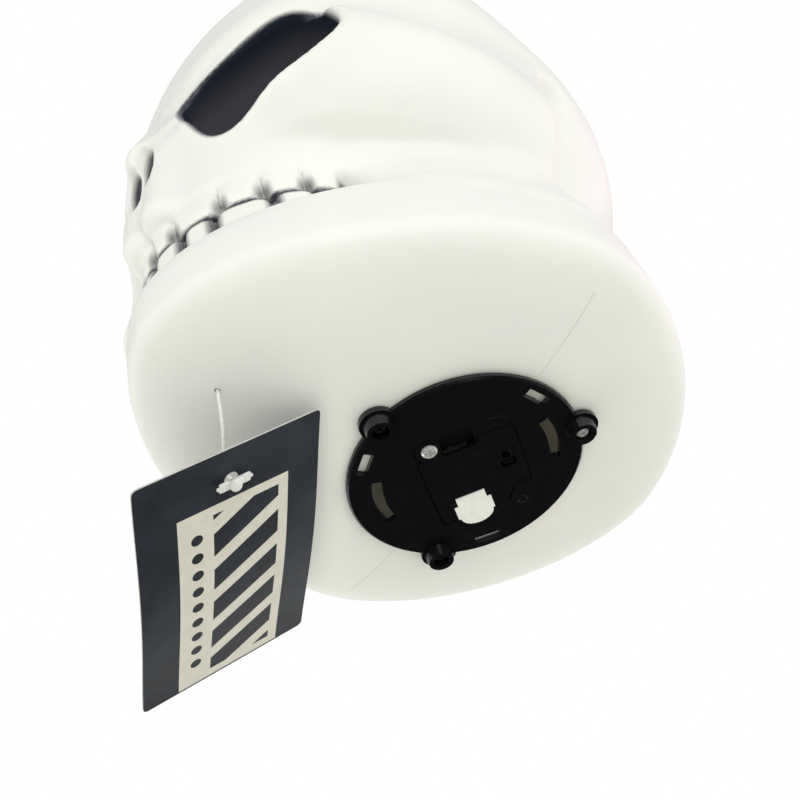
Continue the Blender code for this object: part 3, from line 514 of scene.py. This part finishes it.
def make_skull():
    """The hollow shell, holed for the base, its screws and the tag's filament, and painted."""
    shell = mesh_object("skull", *outer_surface())
    inside = mesh_object("inside", *inner_surface())
    bottom, top = FLOOR_Z - CUT_BELOW_FLOOR, FLOOR_Z + CUT_ABOVE_FLOOR
    hole = cylinders("base_hole", [(0, 0, HOLE_RADIUS)], bottom, top, 96)
    small = [(*polar(FOOT_CIRCLE, angle), PILOT_RADIUS) for angle in FOOT_ANGLES]
    pivot = JOINTS["tag_swivel"]["pos_m"]
    small.append((pivot[0] / MM, pivot[1] / MM, PIERCING_RADIUS))
    holes = cylinders("small_holes", small, bottom, top, 20)
    cut(shell, inside, hole, holes)

    mesh = shell.data
    places = (read(mesh, "co") - np.array((0, 0, FEET_Z))) / MM
    mirrored = places * np.where(places[:, :1] < 0, (-1, 1, 1), (1, 1, 1))
    store(mesh, "paint", paint_amount(mirrored))
    store(mesh, "depth", smooth_step(*DEEP_SOCKET_FADE, in_socket(mirrored)[:, 1]))
    mesh.shade_smooth()
    outside = np.abs(skull(places)) < SURFACE_SLACK
    uphill = slope(skull, places[outside])
    normals = read(mesh, "normal")
    normals[outside] = uphill / length(uphill)[:, None]
    mesh.normals_split_custom_set_from_vertices(normals.tolist())
    mesh.materials.clear()
    mesh.materials.append(skull_plastic())
    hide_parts("skull_shell")
    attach(shell, "base")
    return shell


# ---------------------------------------------------------------- materials


def feed(tree, socket, value):
    """Links a socket to an output, or gives it a plain value."""
    if hasattr(value, "is_output"):
        tree.links.new(value, socket)
    else:
        socket.default_value = value


def map_range(tree, value, low, high, to_low=0.0, to_high=1.0):
    """Maps one range of values onto another, and stops at its ends."""
    node = tree.nodes.new("ShaderNodeMapRange")
    feed(tree, node.inputs["Value"], value)
    ends = {"From Min": low, "From Max": high, "To Min": to_low, "To Max": to_high}
    for name, end in ends.items():
        feed(tree, node.inputs[name], end)
    return node.outputs["Result"]


class Finish:
    """A Principled material with short ways to add procedural detail."""

    def __init__(self, name, colour, roughness, metallic=0.0):
        self.material = bpy.data.materials.new(name)
        self.material.use_nodes = True
        self.tree = self.material.node_tree
        self.nodes = self.tree.nodes
        self.links = self.tree.links
        self.shader = self.nodes["Principled BSDF"]
        self.set("Base Color", (*colour, 1.0))
        self.set("Roughness", roughness)
        self.set("Metallic", metallic)
        self.place = self.nodes.new("ShaderNodeTexCoord").outputs["Object"]

    def set(self, name, value):
        feed(self.tree, self.shader.inputs[name], value)

    def noise(self, size_mm, detail=3.0, stretch=(1, 1, 1)):
        """Cloudy noise whose lumps are about the given size."""
        mapping = self.nodes.new("ShaderNodeMapping")
        mapping.inputs["Scale"].default_value = stretch
        self.links.new(self.place, mapping.inputs["Vector"])
        node = self.nodes.new("ShaderNodeTexNoise")
        node.inputs["Scale"].default_value = 1 / (size_mm * MM)
        node.inputs["Detail"].default_value = detail
        self.links.new(mapping.outputs["Vector"], node.inputs["Vector"])
        return node.outputs["Fac"]

    def remap(self, value, low, high, to_low=0.0, to_high=1.0):
        return map_range(self.tree, value, low, high, to_low, to_high)

    def mix(self, amount, a, b):
        """Colour a where amount is 0, colour b where it is 1."""
        node = self.nodes.new("ShaderNodeMix")
        node.data_type = "RGBA"
        colour_a, colour_b = [s for s in node.inputs if s.type == "RGBA"]
        feed(self.tree, node.inputs["Factor"], amount)
        for socket, value in ((colour_a, a), (colour_b, b)):
            feed(self.tree, socket, (*value, 1.0) if isinstance(value, tuple) else value)
        return [s for s in node.outputs if s.type == "RGBA"][0]

    def math(self, operation, a, b=0.0):
        node = self.nodes.new("ShaderNodeMath")
        node.operation = operation
        for socket, value in zip(node.inputs, (a, b)):
            feed(self.tree, socket, value)
        return node.outputs[0]

    def attribute(self, name):
        node = self.nodes.new("ShaderNodeAttribute")
        node.attribute_name = name
        return node.outputs["Fac"]

    def bump(self, height, distance_mm, strength=1.0):
        node = self.nodes.new("ShaderNodeBump")
        node.inputs["Strength"].default_value = strength
        node.inputs["Distance"].default_value = distance_mm * MM
        self.links.new(height, node.inputs["Height"])
        self.links.new(node.outputs["Normal"], self.shader.inputs["Normal"])


def skull_plastic():
    """Milky polyethylene with soft black paint in its hollows."""
    f = Finish("milky_polyethylene", (0.87, 0.87, 0.84), 0.32)
    cloud = f.remap(f.noise(38, 2.0), 0.35, 0.65)
    plastic = f.mix(cloud, (0.90, 0.90, 0.86), (0.86, 0.865, 0.83))
    grain = f.remap(f.noise(0.8, 2.0), 0.3, 0.7, -0.03, 0.03)
    paint = f.attribute("paint")
    sprayed = f.math("ADD", paint, f.math("MULTIPLY", grain, f.remap(paint, 0.02, 0.2)))
    cover = f.remap(sprayed, 0.12, 0.92)
    black = f.mix(f.attribute("depth"), (0.010, 0.015, 0.030), (0.11, 0.112, 0.13))
    f.set("Base Color", f.mix(cover, plastic, black))
    f.set("Roughness", f.mix(cover, (0.42, 0.42, 0.42), (0.24, 0.24, 0.24)))
    f.set("Subsurface Weight", f.math("MULTIPLY", f.math("SUBTRACT", 1.0, cover), 0.3))
    f.set("Subsurface Radius", (1.0, 0.95, 0.85))
    f.set("Subsurface Scale", 0.004)
    f.set("Coat Weight", 0.12)
    f.set("Coat Roughness", 0.2)
    f.bump(f.noise(2.6, 3.0), 0.04, 0.4)
    return f.material


def black_plastic():
    """Glossy moulded ABS with faint moulding texture and dust."""
    black = (0.0035, 0.004, 0.0055)
    dust = (0.2, 0.2, 0.2)
    f = Finish("black_abs", black, 0.22)
    speck = f.remap(f.noise(0.5, 4.0), 0.66, 0.75)
    f.set("Base Color", f.mix(f.math("MULTIPLY", speck, 0.05), black, dust))
    f.set("Roughness", f.remap(f.noise(5, 4.0), 0.3, 0.7, 0.15, 0.28))
    f.bump(f.noise(0.9, 2.0), 0.02, 0.25)
    return f.material


def plated_steel(name, colour, roughness, stretch=(1, 1, 1), metallic=0.9):
    """Thin bright plating, a little worn, and brushed where its noise is stretched."""
    f = Finish(name, colour, roughness, metallic)
    wear = f.remap(f.noise(0.9, 4.0), 0.35, 0.7)
    dark = tuple(c * 0.86 for c in colour)
    f.set("Base Color", f.mix(wear, colour, dark))
    f.set("Roughness", f.remap(f.noise(0.6, 3.0, stretch), 0.3, 0.7, roughness * 0.7, roughness * 1.5))
    f.bump(f.noise(0.3, 2.0, stretch), 0.006, 0.3)
    return f.material


def film():
    f = Finish("polyester_film", (0.84, 0.84, 0.81), 0.4)
    cloud = f.remap(f.noise(3, 3.0), 0.3, 0.7)
    f.set("Base Color", f.mix(cloud, (0.87, 0.87, 0.84), (0.79, 0.79, 0.77)))
    f.set("Roughness", f.remap(f.noise(1.0, 3.0), 0.3, 0.7, 0.3, 0.5))
    f.bump(f.noise(2.0, 2.0), 0.06, 0.6)
    return f.material


def nylon():
    f = Finish("nylon", (0.88, 0.88, 0.86), 0.28)
    cloud = f.remap(f.noise(1.6, 3.0), 0.3, 0.7)
    f.set("Base Color", f.mix(cloud, (0.93, 0.93, 0.92), (0.78, 0.79, 0.78)))
    f.set("Transmission Weight", 0.12)
    f.set("Subsurface Weight", 0.3)
    f.set("Subsurface Scale", 0.001)
    f.set("Roughness", f.remap(f.noise(0.7, 3.0), 0.3, 0.7, 0.24, 0.36))
    f.bump(f.noise(1.2, 2.0), 0.02, 0.3)
    return f.material


def solder_mask():
    """Green mask with the lighter bands of the copper under it."""
    f = Finish("solder_mask", (0.03, 0.19, 0.07), 0.35)
    copper = f.remap(f.noise(2.4, 1.0, (1, 6, 1)), 0.48, 0.52)
    f.set("Base Color", f.mix(copper, (0.03, 0.19, 0.07), (0.05, 0.26, 0.1)))
    f.set("Roughness", f.remap(f.noise(0.8, 3.0), 0.3, 0.7, 0.28, 0.42))
    f.bump(f.noise(0.3, 2.0), 0.02, 0.5)
    return f.material


def clear_resin():
    f = Finish("clear_resin", (0.93, 0.93, 0.96), 0.06)
    f.set("Transmission Weight", 0.85)
    f.set("IOR", 1.5)
    f.set("Roughness", f.remap(f.noise(2.0, 2.0), 0.3, 0.7, 0.03, 0.1))
    return f.material


def vinyl(name, colour):
    f = Finish(name, colour, 0.4)
    pale = tuple(min(1.0, c * 1.25 + 0.01) for c in colour)
    f.set("Base Color", f.mix(f.remap(f.noise(1.2, 3.0), 0.35, 0.7), colour, pale))
    f.set("Roughness", f.remap(f.noise(0.6, 3.0), 0.3, 0.7, 0.32, 0.48))
    f.bump(f.noise(0.4, 2.0), 0.03, 0.4)
    return f.material


def coat_nodes():
    """Gives every CAD node that stays its finish."""
    finishes = {
        "black_plastic": black_plastic(),
        "screw_steel": plated_steel("zinc_plate", (0.80, 0.80, 0.81), 0.25, metallic=0.5),
        "cell_steel": plated_steel("nickel_plate", (0.72, 0.72, 0.70), 0.3, stretch=(1, 1, 5)),
        "film": film(),
        "board": solder_mask(),
        "led_resin": clear_resin(),
        "red_wire": vinyl("red_vinyl", (0.55, 0.02, 0.015)),
        "black_wire": vinyl("black_vinyl", (0.02, 0.02, 0.022)),
        "nylon": nylon(),
    }
    # Base screws 2 and 3 sit deep in their bores and get a dark copy of the plating: painted shade.
    shaded = plated_steel("shaded_zinc_plate", (0.16, 0.16, 0.17), 0.4)
    for part in frame["record"]["subparts"]:
        node = frame["nodes"][part["node"]]
        if node.hide_render or part["material_slot"] not in finishes:
            continue
        deep = part["node"] in ("base_screw_2", "base_screw_3")
        node.data.materials.clear()
        node.data.materials.append(shaded if deep else finishes[part["material_slot"]])
        node.data.shade_smooth()
        node.data.set_sharp_from_angle(angle=math.radians(28))
    return finishes


# ---------------------------------------------------------------- hang tag

# Places on the card are (across, down) from its hole
CARD_SIZE = (54.2, 86.7)
CARD_THICKNESS = 0.45
HOLE_DROP = 9.85
CARD_HOLE_RADIUS = 2.0
CARD_CORNER = 1.6
CARD_BOW = 1.8
CARD_ROWS = 55
CARD_COLUMNS = 88
PANEL_ACROSS = (-15.8, 17.4)
PANEL_DOWN = (6.3, 76.2)
STRIPES_ACROSS = (-5.5, 14.4)
STRIPES_DOWN = (9.3, 73.2)
STRIPE_PITCH = 13.0
STRIPE_SHARE = 0.62
STRIPE_SLANT = 0.55
DOT_PITCH = 6.4
DOT_SHARE = 0.27
DOTS_ACROSS = -10.4
DOTS_DOWN = (11.8, 70.2)
DOTS_SHIFT = 0.6

# The fastener's paddle, in the card's axes: ribs as (down, half length), and lumps as
# (centre, stretch, radius) where the filament joins
PADDLE_OFFSET = 2.2
FUSE_VOXEL = 0.14
RIBS = ((-0.95, 4.1), (0.0, 4.8), (0.95, 4.1))
RIB_BEADS = 25
RIB_RADIUS = 0.56
RIB_STRETCH = (1, 1, 0.9, 1)
JOIN_LUMPS = (
    ((-0.3, -0.2, -0.9), (1.0, 1.15, 0.9, 1), 1.75),
    ((0.9, -1.3, -0.9), (1.2, 0.8, 0.8, 1), 1.15),
)


# The filament drops from inside the skull, and sags a little between the floor and the card
FILAMENT_RADIUS = 0.45
FILAMENT_TOP_GAP = 0.8
FILAMENT_STRAIGHT_TO = 6
FILAMENT_SAG = 0.6
FILAMENT_SAG_SHARE = 0.45
FILAMENT_BEHIND_CARD = 3.0


def card_matrix():
    """The card's own axes: across it, down its length, and into its back, from its hinge."""
    joint = JOINTS["tag_flap"]
    across = -Vector(joint["axis"])
    down = Vector((0, 0, 1)).cross(across).normalized()
    turn = Matrix((across, down, across.cross(down))).transposed().to_4x4()
    return Matrix.Translation(Vector(joint["pos_m"])) @ turn


def card_material():
    """Near-black print, tinted blue as a painted sheen, with a pale panel that carries slanting stripes and a
    column of dots.
    """
    f = Finish("printed_card", (0.012, 0.015, 0.024), 0.4)
    split = f.nodes.new("ShaderNodeSeparateXYZ")
    f.links.new(f.place, split.inputs[0])
    across = f.math("DIVIDE", split.outputs[0], MM)
    down = f.math("DIVIDE", split.outputs[1], MM)

    def inside(value, low, high):
        return f.math("MULTIPLY", f.math("GREATER_THAN", value, low), f.math("LESS_THAN", value, high))

    def box(u, v):
        return f.math("MULTIPLY", inside(across, *u), inside(down, *v))

    panel = box(PANEL_ACROSS, PANEL_DOWN)
    along = f.math("ADD", down, f.math("MULTIPLY", across, STRIPE_SLANT))
    slant = f.math("FRACT", f.math("DIVIDE", along, STRIPE_PITCH))
    stripes = f.math("LESS_THAN", slant, STRIPE_SHARE)
    stripes = f.math("MULTIPLY", stripes, box(STRIPES_ACROSS, STRIPES_DOWN))
    step = f.math("FRACT", f.math("DIVIDE", f.math("ADD", down, DOTS_SHIFT), DOT_PITCH))
    step = f.math("SUBTRACT", step, 0.5)
    aside = f.math("DIVIDE", f.math("SUBTRACT", across, DOTS_ACROSS), DOT_PITCH)
    squares = f.math("ADD", f.math("MULTIPLY", step, step), f.math("MULTIPLY", aside, aside))
    dots = f.math("LESS_THAN", f.math("SQRT", squares), DOT_SHARE)
    dots = f.math("MULTIPLY", dots, inside(down, *DOTS_DOWN))
    shown = f.math("MULTIPLY", panel, f.math("SUBTRACT", 1.0, f.math("MAXIMUM", stripes, dots)))
    # The near-black ink's blue tint, strongest in its lighter clouds, is painted sheen.
    ink_with_painted_sheen = f.mix(f.remap(f.noise(14, 3.0), 0.3, 0.7), (0.008, 0.0115, 0.019), (0.018, 0.026, 0.042))
    pale = f.mix(f.remap(f.noise(4, 3.0), 0.3, 0.7), (0.66, 0.64, 0.575), (0.72, 0.70, 0.63))
    f.set("Base Color", f.mix(shown, ink_with_painted_sheen, pale))
    f.set("Roughness", f.remap(f.noise(3, 3.0), 0.3, 0.7, 0.30, 0.42))
    f.bump(f.noise(0.35, 3.0), 0.02, 0.4)
    return f.material


def card_edge():
    """Bare pulp at the cut edges."""
    f = Finish("card_edge", (0.55, 0.55, 0.53), 0.8)
    fibres = f.remap(f.noise(0.5, 3.0), 0.3, 0.7)
    f.set("Base Color", f.mix(fibres, (0.62, 0.61, 0.58), (0.42, 0.42, 0.40)))
    f.bump(f.noise(0.2, 2.0), 0.04, 0.6)
    return f.material


def card_points():
    """A fine grid over the card, its corners drawn in to arcs; the hole is cut later."""
    width, height = CARD_SIZE
    across = np.linspace(-width / 2, width / 2, CARD_ROWS)
    down = np.linspace(-height / 2, height / 2, CARD_COLUMNS)
    u, v = np.meshgrid(across, down, indexing="ij")
    inner = np.array((width / 2, height / 2)) - CARD_CORNER
    over = np.stack([np.abs(u) - inner[0], np.abs(v) - inner[1]])
    corner = (over > 0).all(0)
    far = np.maximum(np.hypot(*over), 1e-9)
    most = np.maximum(over.max(0), 1e-9)
    share = np.where(corner, most / far, 1.0)
    u = np.where(corner, np.sign(u) * (inner[0] + over[0] * share), u)
    v = np.where(corner, np.sign(v) * (inner[1] + over[1] * share), v)
    return u, v + height / 2 - HOLE_DROP


def grid_border(rows, columns):
    """The places of a grid's outermost points, once round."""
    border = [(i, 0) for i in range(rows)]
    border += [(rows - 1, j) for j in range(1, columns)]
    border += [(i, columns - 1) for i in range(rows - 2, -1, -1)]
    border += [(0, j) for j in range(columns - 2, 0, -1)]
    return border


def make_card():
    """A thin card, bowed a little along its length, with a punched hole."""
    u, v = card_points()
    bow = -CARD_BOW * np.sin(math.pi * np.clip((v + HOLE_DROP) / CARD_SIZE[1], 0, 1)) ** 1.5
    half = CARD_THICKNESS / 2
    bm = bmesh.new()
    sides = []
    for offset in (-half, half):
        points = np.stack([u, v, bow + offset], -1) * MM
        sides.append([[bm.verts.new(point) for point in row] for row in points])
    front, back = sides
    for i in range(CARD_ROWS - 1):
        for j in range(CARD_COLUMNS - 1):
            bm.faces.new((front[i][j], front[i][j + 1], front[i + 1][j + 1], front[i + 1][j]))
            bm.faces.new((back[i][j], back[i + 1][j], back[i + 1][j + 1], back[i][j + 1]))
    border = grid_border(CARD_ROWS, CARD_COLUMNS)
    for (i, j), (k, l) in zip(border, border[1:] + border[:1]):
        bm.faces.new((front[i][j], front[k][l], back[k][l], back[i][j])).material_index = 1
    bmesh.ops.recalc_face_normals(bm, faces=bm.faces)
    mesh = bpy.data.meshes.new("tag_card")
    bm.to_mesh(mesh)
    bm.free()
    card = link("tag_card", mesh)
    mesh.materials.append(card_material())
    mesh.materials.append(card_edge())
    card.matrix_world = card_matrix()
    punch = cylinders("punch", [(0, 0, CARD_HOLE_RADIUS)], -4, 4, 40)
    punch.data.transform(Matrix.Translation((0, 0, -FEET_Z)))
    punch.data.materials.append(mesh.materials[1])
    punch.matrix_world = card_matrix()
    cut(card, punch)
    card.data.shade_smooth()
    card.data.set_sharp_from_angle(angle=math.radians(40))
    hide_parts("hang_tag")
    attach(card, "hang_tag")


def line_object(name, kind, points, radius, finish):
    """A round bar with capped ends along a line of the given kind, through or near its points."""
    curve = bpy.data.curves.new(name, "CURVE")
    curve.dimensions = "3D"
    curve.bevel_depth = radius * MM
    curve.use_fill_caps = True
    line = curve.splines.new(kind)
    line.points.add(len(points) - 1)
    for point, spot in zip(line.points, points):
        point.co = (*spot, 1)
    curve.materials.append(finish)
    return link(name, curve)


def make_filament(finish):
    """From inside the skull, out through its floor, and through the card's hole."""
    matrix = card_matrix()
    front = -matrix.to_3x3().col[2]
    hole = matrix.translation
    pivot = Vector(JOINTS["tag_swivel"]["pos_m"])
    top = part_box("tag_fastener")[1].z
    path = [Vector((pivot.x, pivot.y, top - FILAMENT_TOP_GAP * MM))]
    path.append(Vector((pivot.x, pivot.y, FILAMENT_STRAIGHT_TO * MM)))
    path.append(pivot)
    path.append(pivot.lerp(hole, FILAMENT_SAG_SHARE) - Vector((0, 0, FILAMENT_SAG * MM)))
    path.append(hole - front * FILAMENT_BEHIND_CARD * MM)
    path.append(hole)
    path.append(hole + front * PADDLE_OFFSET * MM)
    filament = line_object("fastener_filament", "NURBS", path, FILAMENT_RADIUS, finish)
    filament.data.bevel_resolution = 4
    filament.data.resolution_u = 10
    line = filament.data.splines[0]
    line.use_endpoint_u = True
    line.order_u = 3
    return filament


def make_paddle(finish):
    """A ribbed paddle in front of the card, with lumps where the filament joins it."""
    bm = bmesh.new()
    for row, reach in RIBS:
        for k in range(RIB_BEADS):
            x = reach * (2 * k / (RIB_BEADS - 1) - 1)
            spot = Matrix.Translation((x, row, 0)) @ Matrix.Diagonal(RIB_STRETCH)
            bmesh.ops.create_icosphere(bm, subdivisions=2, radius=RIB_RADIUS, matrix=spot)
    for centre, stretch, radius in JOIN_LUMPS:
        spot = Matrix.Translation(centre) @ Matrix.Diagonal(stretch)
        bmesh.ops.create_icosphere(bm, subdivisions=3, radius=radius, matrix=spot)
    bmesh.ops.scale(bm, vec=(MM, MM, MM), verts=bm.verts)
    mesh = bpy.data.meshes.new("fastener_paddle")
    bm.to_mesh(mesh)
    bm.free()
    mesh.materials.append(finish)
    paddle = link("fastener_paddle", mesh)
    fuse = paddle.modifiers.new("fuse", "REMESH")
    fuse.voxel_size = FUSE_VOXEL * MM
    fuse.use_smooth_shade = True
    matrix = card_matrix()
    front = -matrix.to_3x3().col[2]
    paddle.matrix_world = Matrix.Translation(front * PADDLE_OFFSET * MM) @ matrix
    return paddle


def make_fastener(finish):
    """The nylon fastener that carries the card."""
    filament = make_filament(finish)
    paddle = make_paddle(finish)
    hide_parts("tag_fastener")
    for piece in (filament, paddle):
        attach(piece, "tag_fastener")


# ---------------------------------------------------------------- small marks

# Marks are placed in the plate's own axes, which are turned to its first foot
PLATE_TURN = FOOT_ANGLES[0]
PLATE_FACE = 3.1
MARK_ON = (12.5, -16.6)
MARK_ON_HALF_LENGTH = 1.4
MARK_ON_RADIUS = 0.26
MARK_OFF = (12.3, 19.8)
MARK_OFF_RING = 1.3
MARK_OFF_RADIUS = 0.24
MARK_OFF_POINTS = 32
MOULD_LINE_START = 35.5
MOULD_LINE_END = 62
MOULD_LINE_POINTS = 28
MOULD_LINE_RADIUS = 0.12
MOULD_LINE_HEIGHTS = (3, 16)
MOULD_LINE_TRIES = 261


def raised_line(name, points, radius, finish, closed=False):
    """A thin rounded bead half sunk in a surface."""
    bead = line_object(name, "POLY", [place(*spot) for spot in points], radius, finish)
    bead.data.bevel_resolution = 2
    bead.data.splines[0].use_cyclic_u = closed
    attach(bead, "base")


def on_plate(u, v):
    """A point of the plate's outer face, given in its turned axes."""
    a = math.radians(PLATE_TURN)
    return u * math.cos(a) - v * math.sin(a), u * math.sin(a) + v * math.cos(a), PLATE_FACE


def make_switch_marks(finish):
    """A raised bar for on and a raised ring for off."""
    u, v = MARK_ON
    bar = [on_plate(u - MARK_ON_HALF_LENGTH, v), on_plate(u + MARK_ON_HALF_LENGTH, v)]
    raised_line("mark_on", bar, MARK_ON_RADIUS, finish)
    u, v = MARK_OFF
    turns = [math.tau * k / MARK_OFF_POINTS for k in range(MARK_OFF_POINTS)]
    ring = [on_plate(u + MARK_OFF_RING * math.cos(t), v + MARK_OFF_RING * math.sin(t)) for t in turns]
    raised_line("mark_off", ring, MARK_OFF_RADIUS, finish, closed=True)


def make_mould_lines(finish):
    """The two stretches of the mould's parting line on the floor, either side of the plate."""
    heights = np.linspace(*MOULD_LINE_HEIGHTS, MOULD_LINE_TRIES)
    for name, side in (("mould_line_left", 1), ("mould_line_right", -1)):
        points = []
        for x in np.linspace(MOULD_LINE_START, MOULD_LINE_END, MOULD_LINE_POINTS):
            column = np.stack([np.full_like(heights, side * x), 0 * heights, heights], -1)
            floor_z = heights[np.argmax(skull(column) < 0)]
            points.append((side * x, 0.0, float(floor_z)))
        raised_line(name, points, MOULD_LINE_RADIUS, finish)


# ---------------------------------------------------------------- stage

CAMERA_PLACE = (147.0, -177.0, -205.3)
CAMERA_RIGHT = Vector((0.5363, 0.8141, -0.2227))
CAMERA_DOWN = Vector((-0.7064, 0.2886, -0.6463))
LENS = 49.5
LIGHT_BELOW = (0.64, 0.63, 0.53)
LIGHT_AROUND = (1.22, 1.22, 1.19)
LIGHT_ABOVE = (0.46, 0.455, 0.465)
DIM_REFLECTION = 0.03
LAMP_TARGET = (0, 0, 90)
LAMP_DISTANCE = 1.2
LAMPS = (
    # name, direction from its target, size in metres, watts, colour
    ("key", (0.85, -0.4, -0.4), 0.6, 2.7, (1, 1, 1)),
    ("fill", (-0.85, 0.0, -0.35), 0.6, 1.6, (1, 1, 1)),
    ("rim", (0.3, 0.8, 0.55), 0.5, 0.5, (1.0, 0.45, 0.9)),
)
FLOOR_SIZE = 6
FLOOR_CLEARANCE = 0.002


def make_camera():
    data = bpy.data.cameras.new("camera")
    data.lens = LENS
    data.clip_start = 0.01
    camera = link("camera", data)
    back = CAMERA_RIGHT.cross(-CAMERA_DOWN)
    camera.matrix_world = Matrix((CAMERA_RIGHT, -CAMERA_DOWN, back)).transposed().to_4x4()
    camera.location = place(*CAMERA_PLACE)
    bpy.context.scene.camera = camera


def make_lamps():
    for name, direction, size, watts, colour in LAMPS:
        data = bpy.data.lights.new(name, "AREA")
        data.size = size
        data.energy = watts
        data.color = colour
        lamp = link(name, data)
        away = Vector(direction).normalized()
        lamp.location = place(*LAMP_TARGET) + away * LAMP_DISTANCE
        lamp.rotation_mode = "QUATERNION"
        lamp.rotation_quaternion = away.to_track_quat("Z", "Y")


def make_world():
    """White to the camera. Its soft light is strongest from the sides, and its reflection dims below."""
    world = bpy.data.worlds.new("studio")
    bpy.context.scene.world = world
    world.use_nodes = True
    world.cycles.sampling_method = "NONE"
    tree = world.node_tree
    nodes, links = tree.nodes, tree.links
    split = nodes.new("ShaderNodeSeparateXYZ")
    links.new(nodes.new("ShaderNodeTexCoord").outputs["Generated"], split.inputs[0])
    upward = split.outputs[2]
    tint = nodes.new("ShaderNodeValToRGB")
    tint.color_ramp.elements[0].color = (*LIGHT_BELOW, 1)
    tint.color_ramp.elements[1].color = (*LIGHT_ABOVE, 1)
    tint.color_ramp.elements.new(0.5).color = (*LIGHT_AROUND, 1)
    links.new(map_range(tree, upward, -1.0, 1.0), tint.inputs["Fac"])
    ray = nodes.new("ShaderNodeLightPath")
    reflected = map_range(tree, upward, -0.5, 0.15, DIM_REFLECTION, 1.0)
    soft = nodes["Background"]
    links.new(tint.outputs["Color"], soft.inputs["Color"])
    strength = map_range(tree, ray.outputs["Is Glossy Ray"], 0.0, 1.0, 1.0, reflected)
    links.new(strength, soft.inputs["Strength"])
    white = nodes.new("ShaderNodeBackground")
    white.inputs["Color"].default_value = (1, 1, 1, 1)
    mix = nodes.new("ShaderNodeMixShader")
    links.new(ray.outputs["Is Camera Ray"], mix.inputs["Fac"])
    links.new(soft.outputs[0], mix.inputs[1])
    links.new(white.outputs[0], mix.inputs[2])
    links.new(mix.outputs[0], nodes["World Output"].inputs["Surface"])


def floor_material():
    material = bpy.data.materials.new("pale_floor")
    material.use_nodes = True
    nodes, links = material.node_tree.nodes, material.node_tree.links
    matte = nodes["Principled BSDF"]
    matte.inputs["Base Color"].default_value = (0.86, 0.86, 0.85, 1)
    matte.inputs["Roughness"].default_value = 0.6
    side = nodes.new("ShaderNodeNewGeometry")
    clear = nodes.new("ShaderNodeBsdfTransparent")
    mix = nodes.new("ShaderNodeMixShader")
    links.new(side.outputs["Backfacing"], mix.inputs["Fac"])
    links.new(matte.outputs[0], mix.inputs[1])
    links.new(clear.outputs[0], mix.inputs[2])
    links.new(mix.outputs[0], nodes["Material Output"].inputs["Surface"])
    return material


def make_floor():
    """A pale floor, clear from below so that the underside can be seen from there."""
    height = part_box("hang_tag")[0].z - FLOOR_CLEARANCE
    bpy.ops.mesh.primitive_plane_add(size=FLOOR_SIZE, location=(0, 0, height))
    floor = bpy.context.object
    floor.name = "floor"
    floor.data.materials.append(floor_material())
    floor.visible_diffuse = False
    floor.visible_glossy = False
    floor.visible_shadow = False


def make_stage():
    bpy.context.scene.view_settings.view_transform = "Standard"
    make_world()
    make_lamps()
    make_floor()
    make_camera()


def main():
    shell = make_skull()
    make_card()
    finishes = coat_nodes()
    make_fastener(finishes["nylon"])
    make_switch_marks(finishes["black_plastic"])
    make_mould_lines(shell.data.materials[0])
    make_stage()


main()
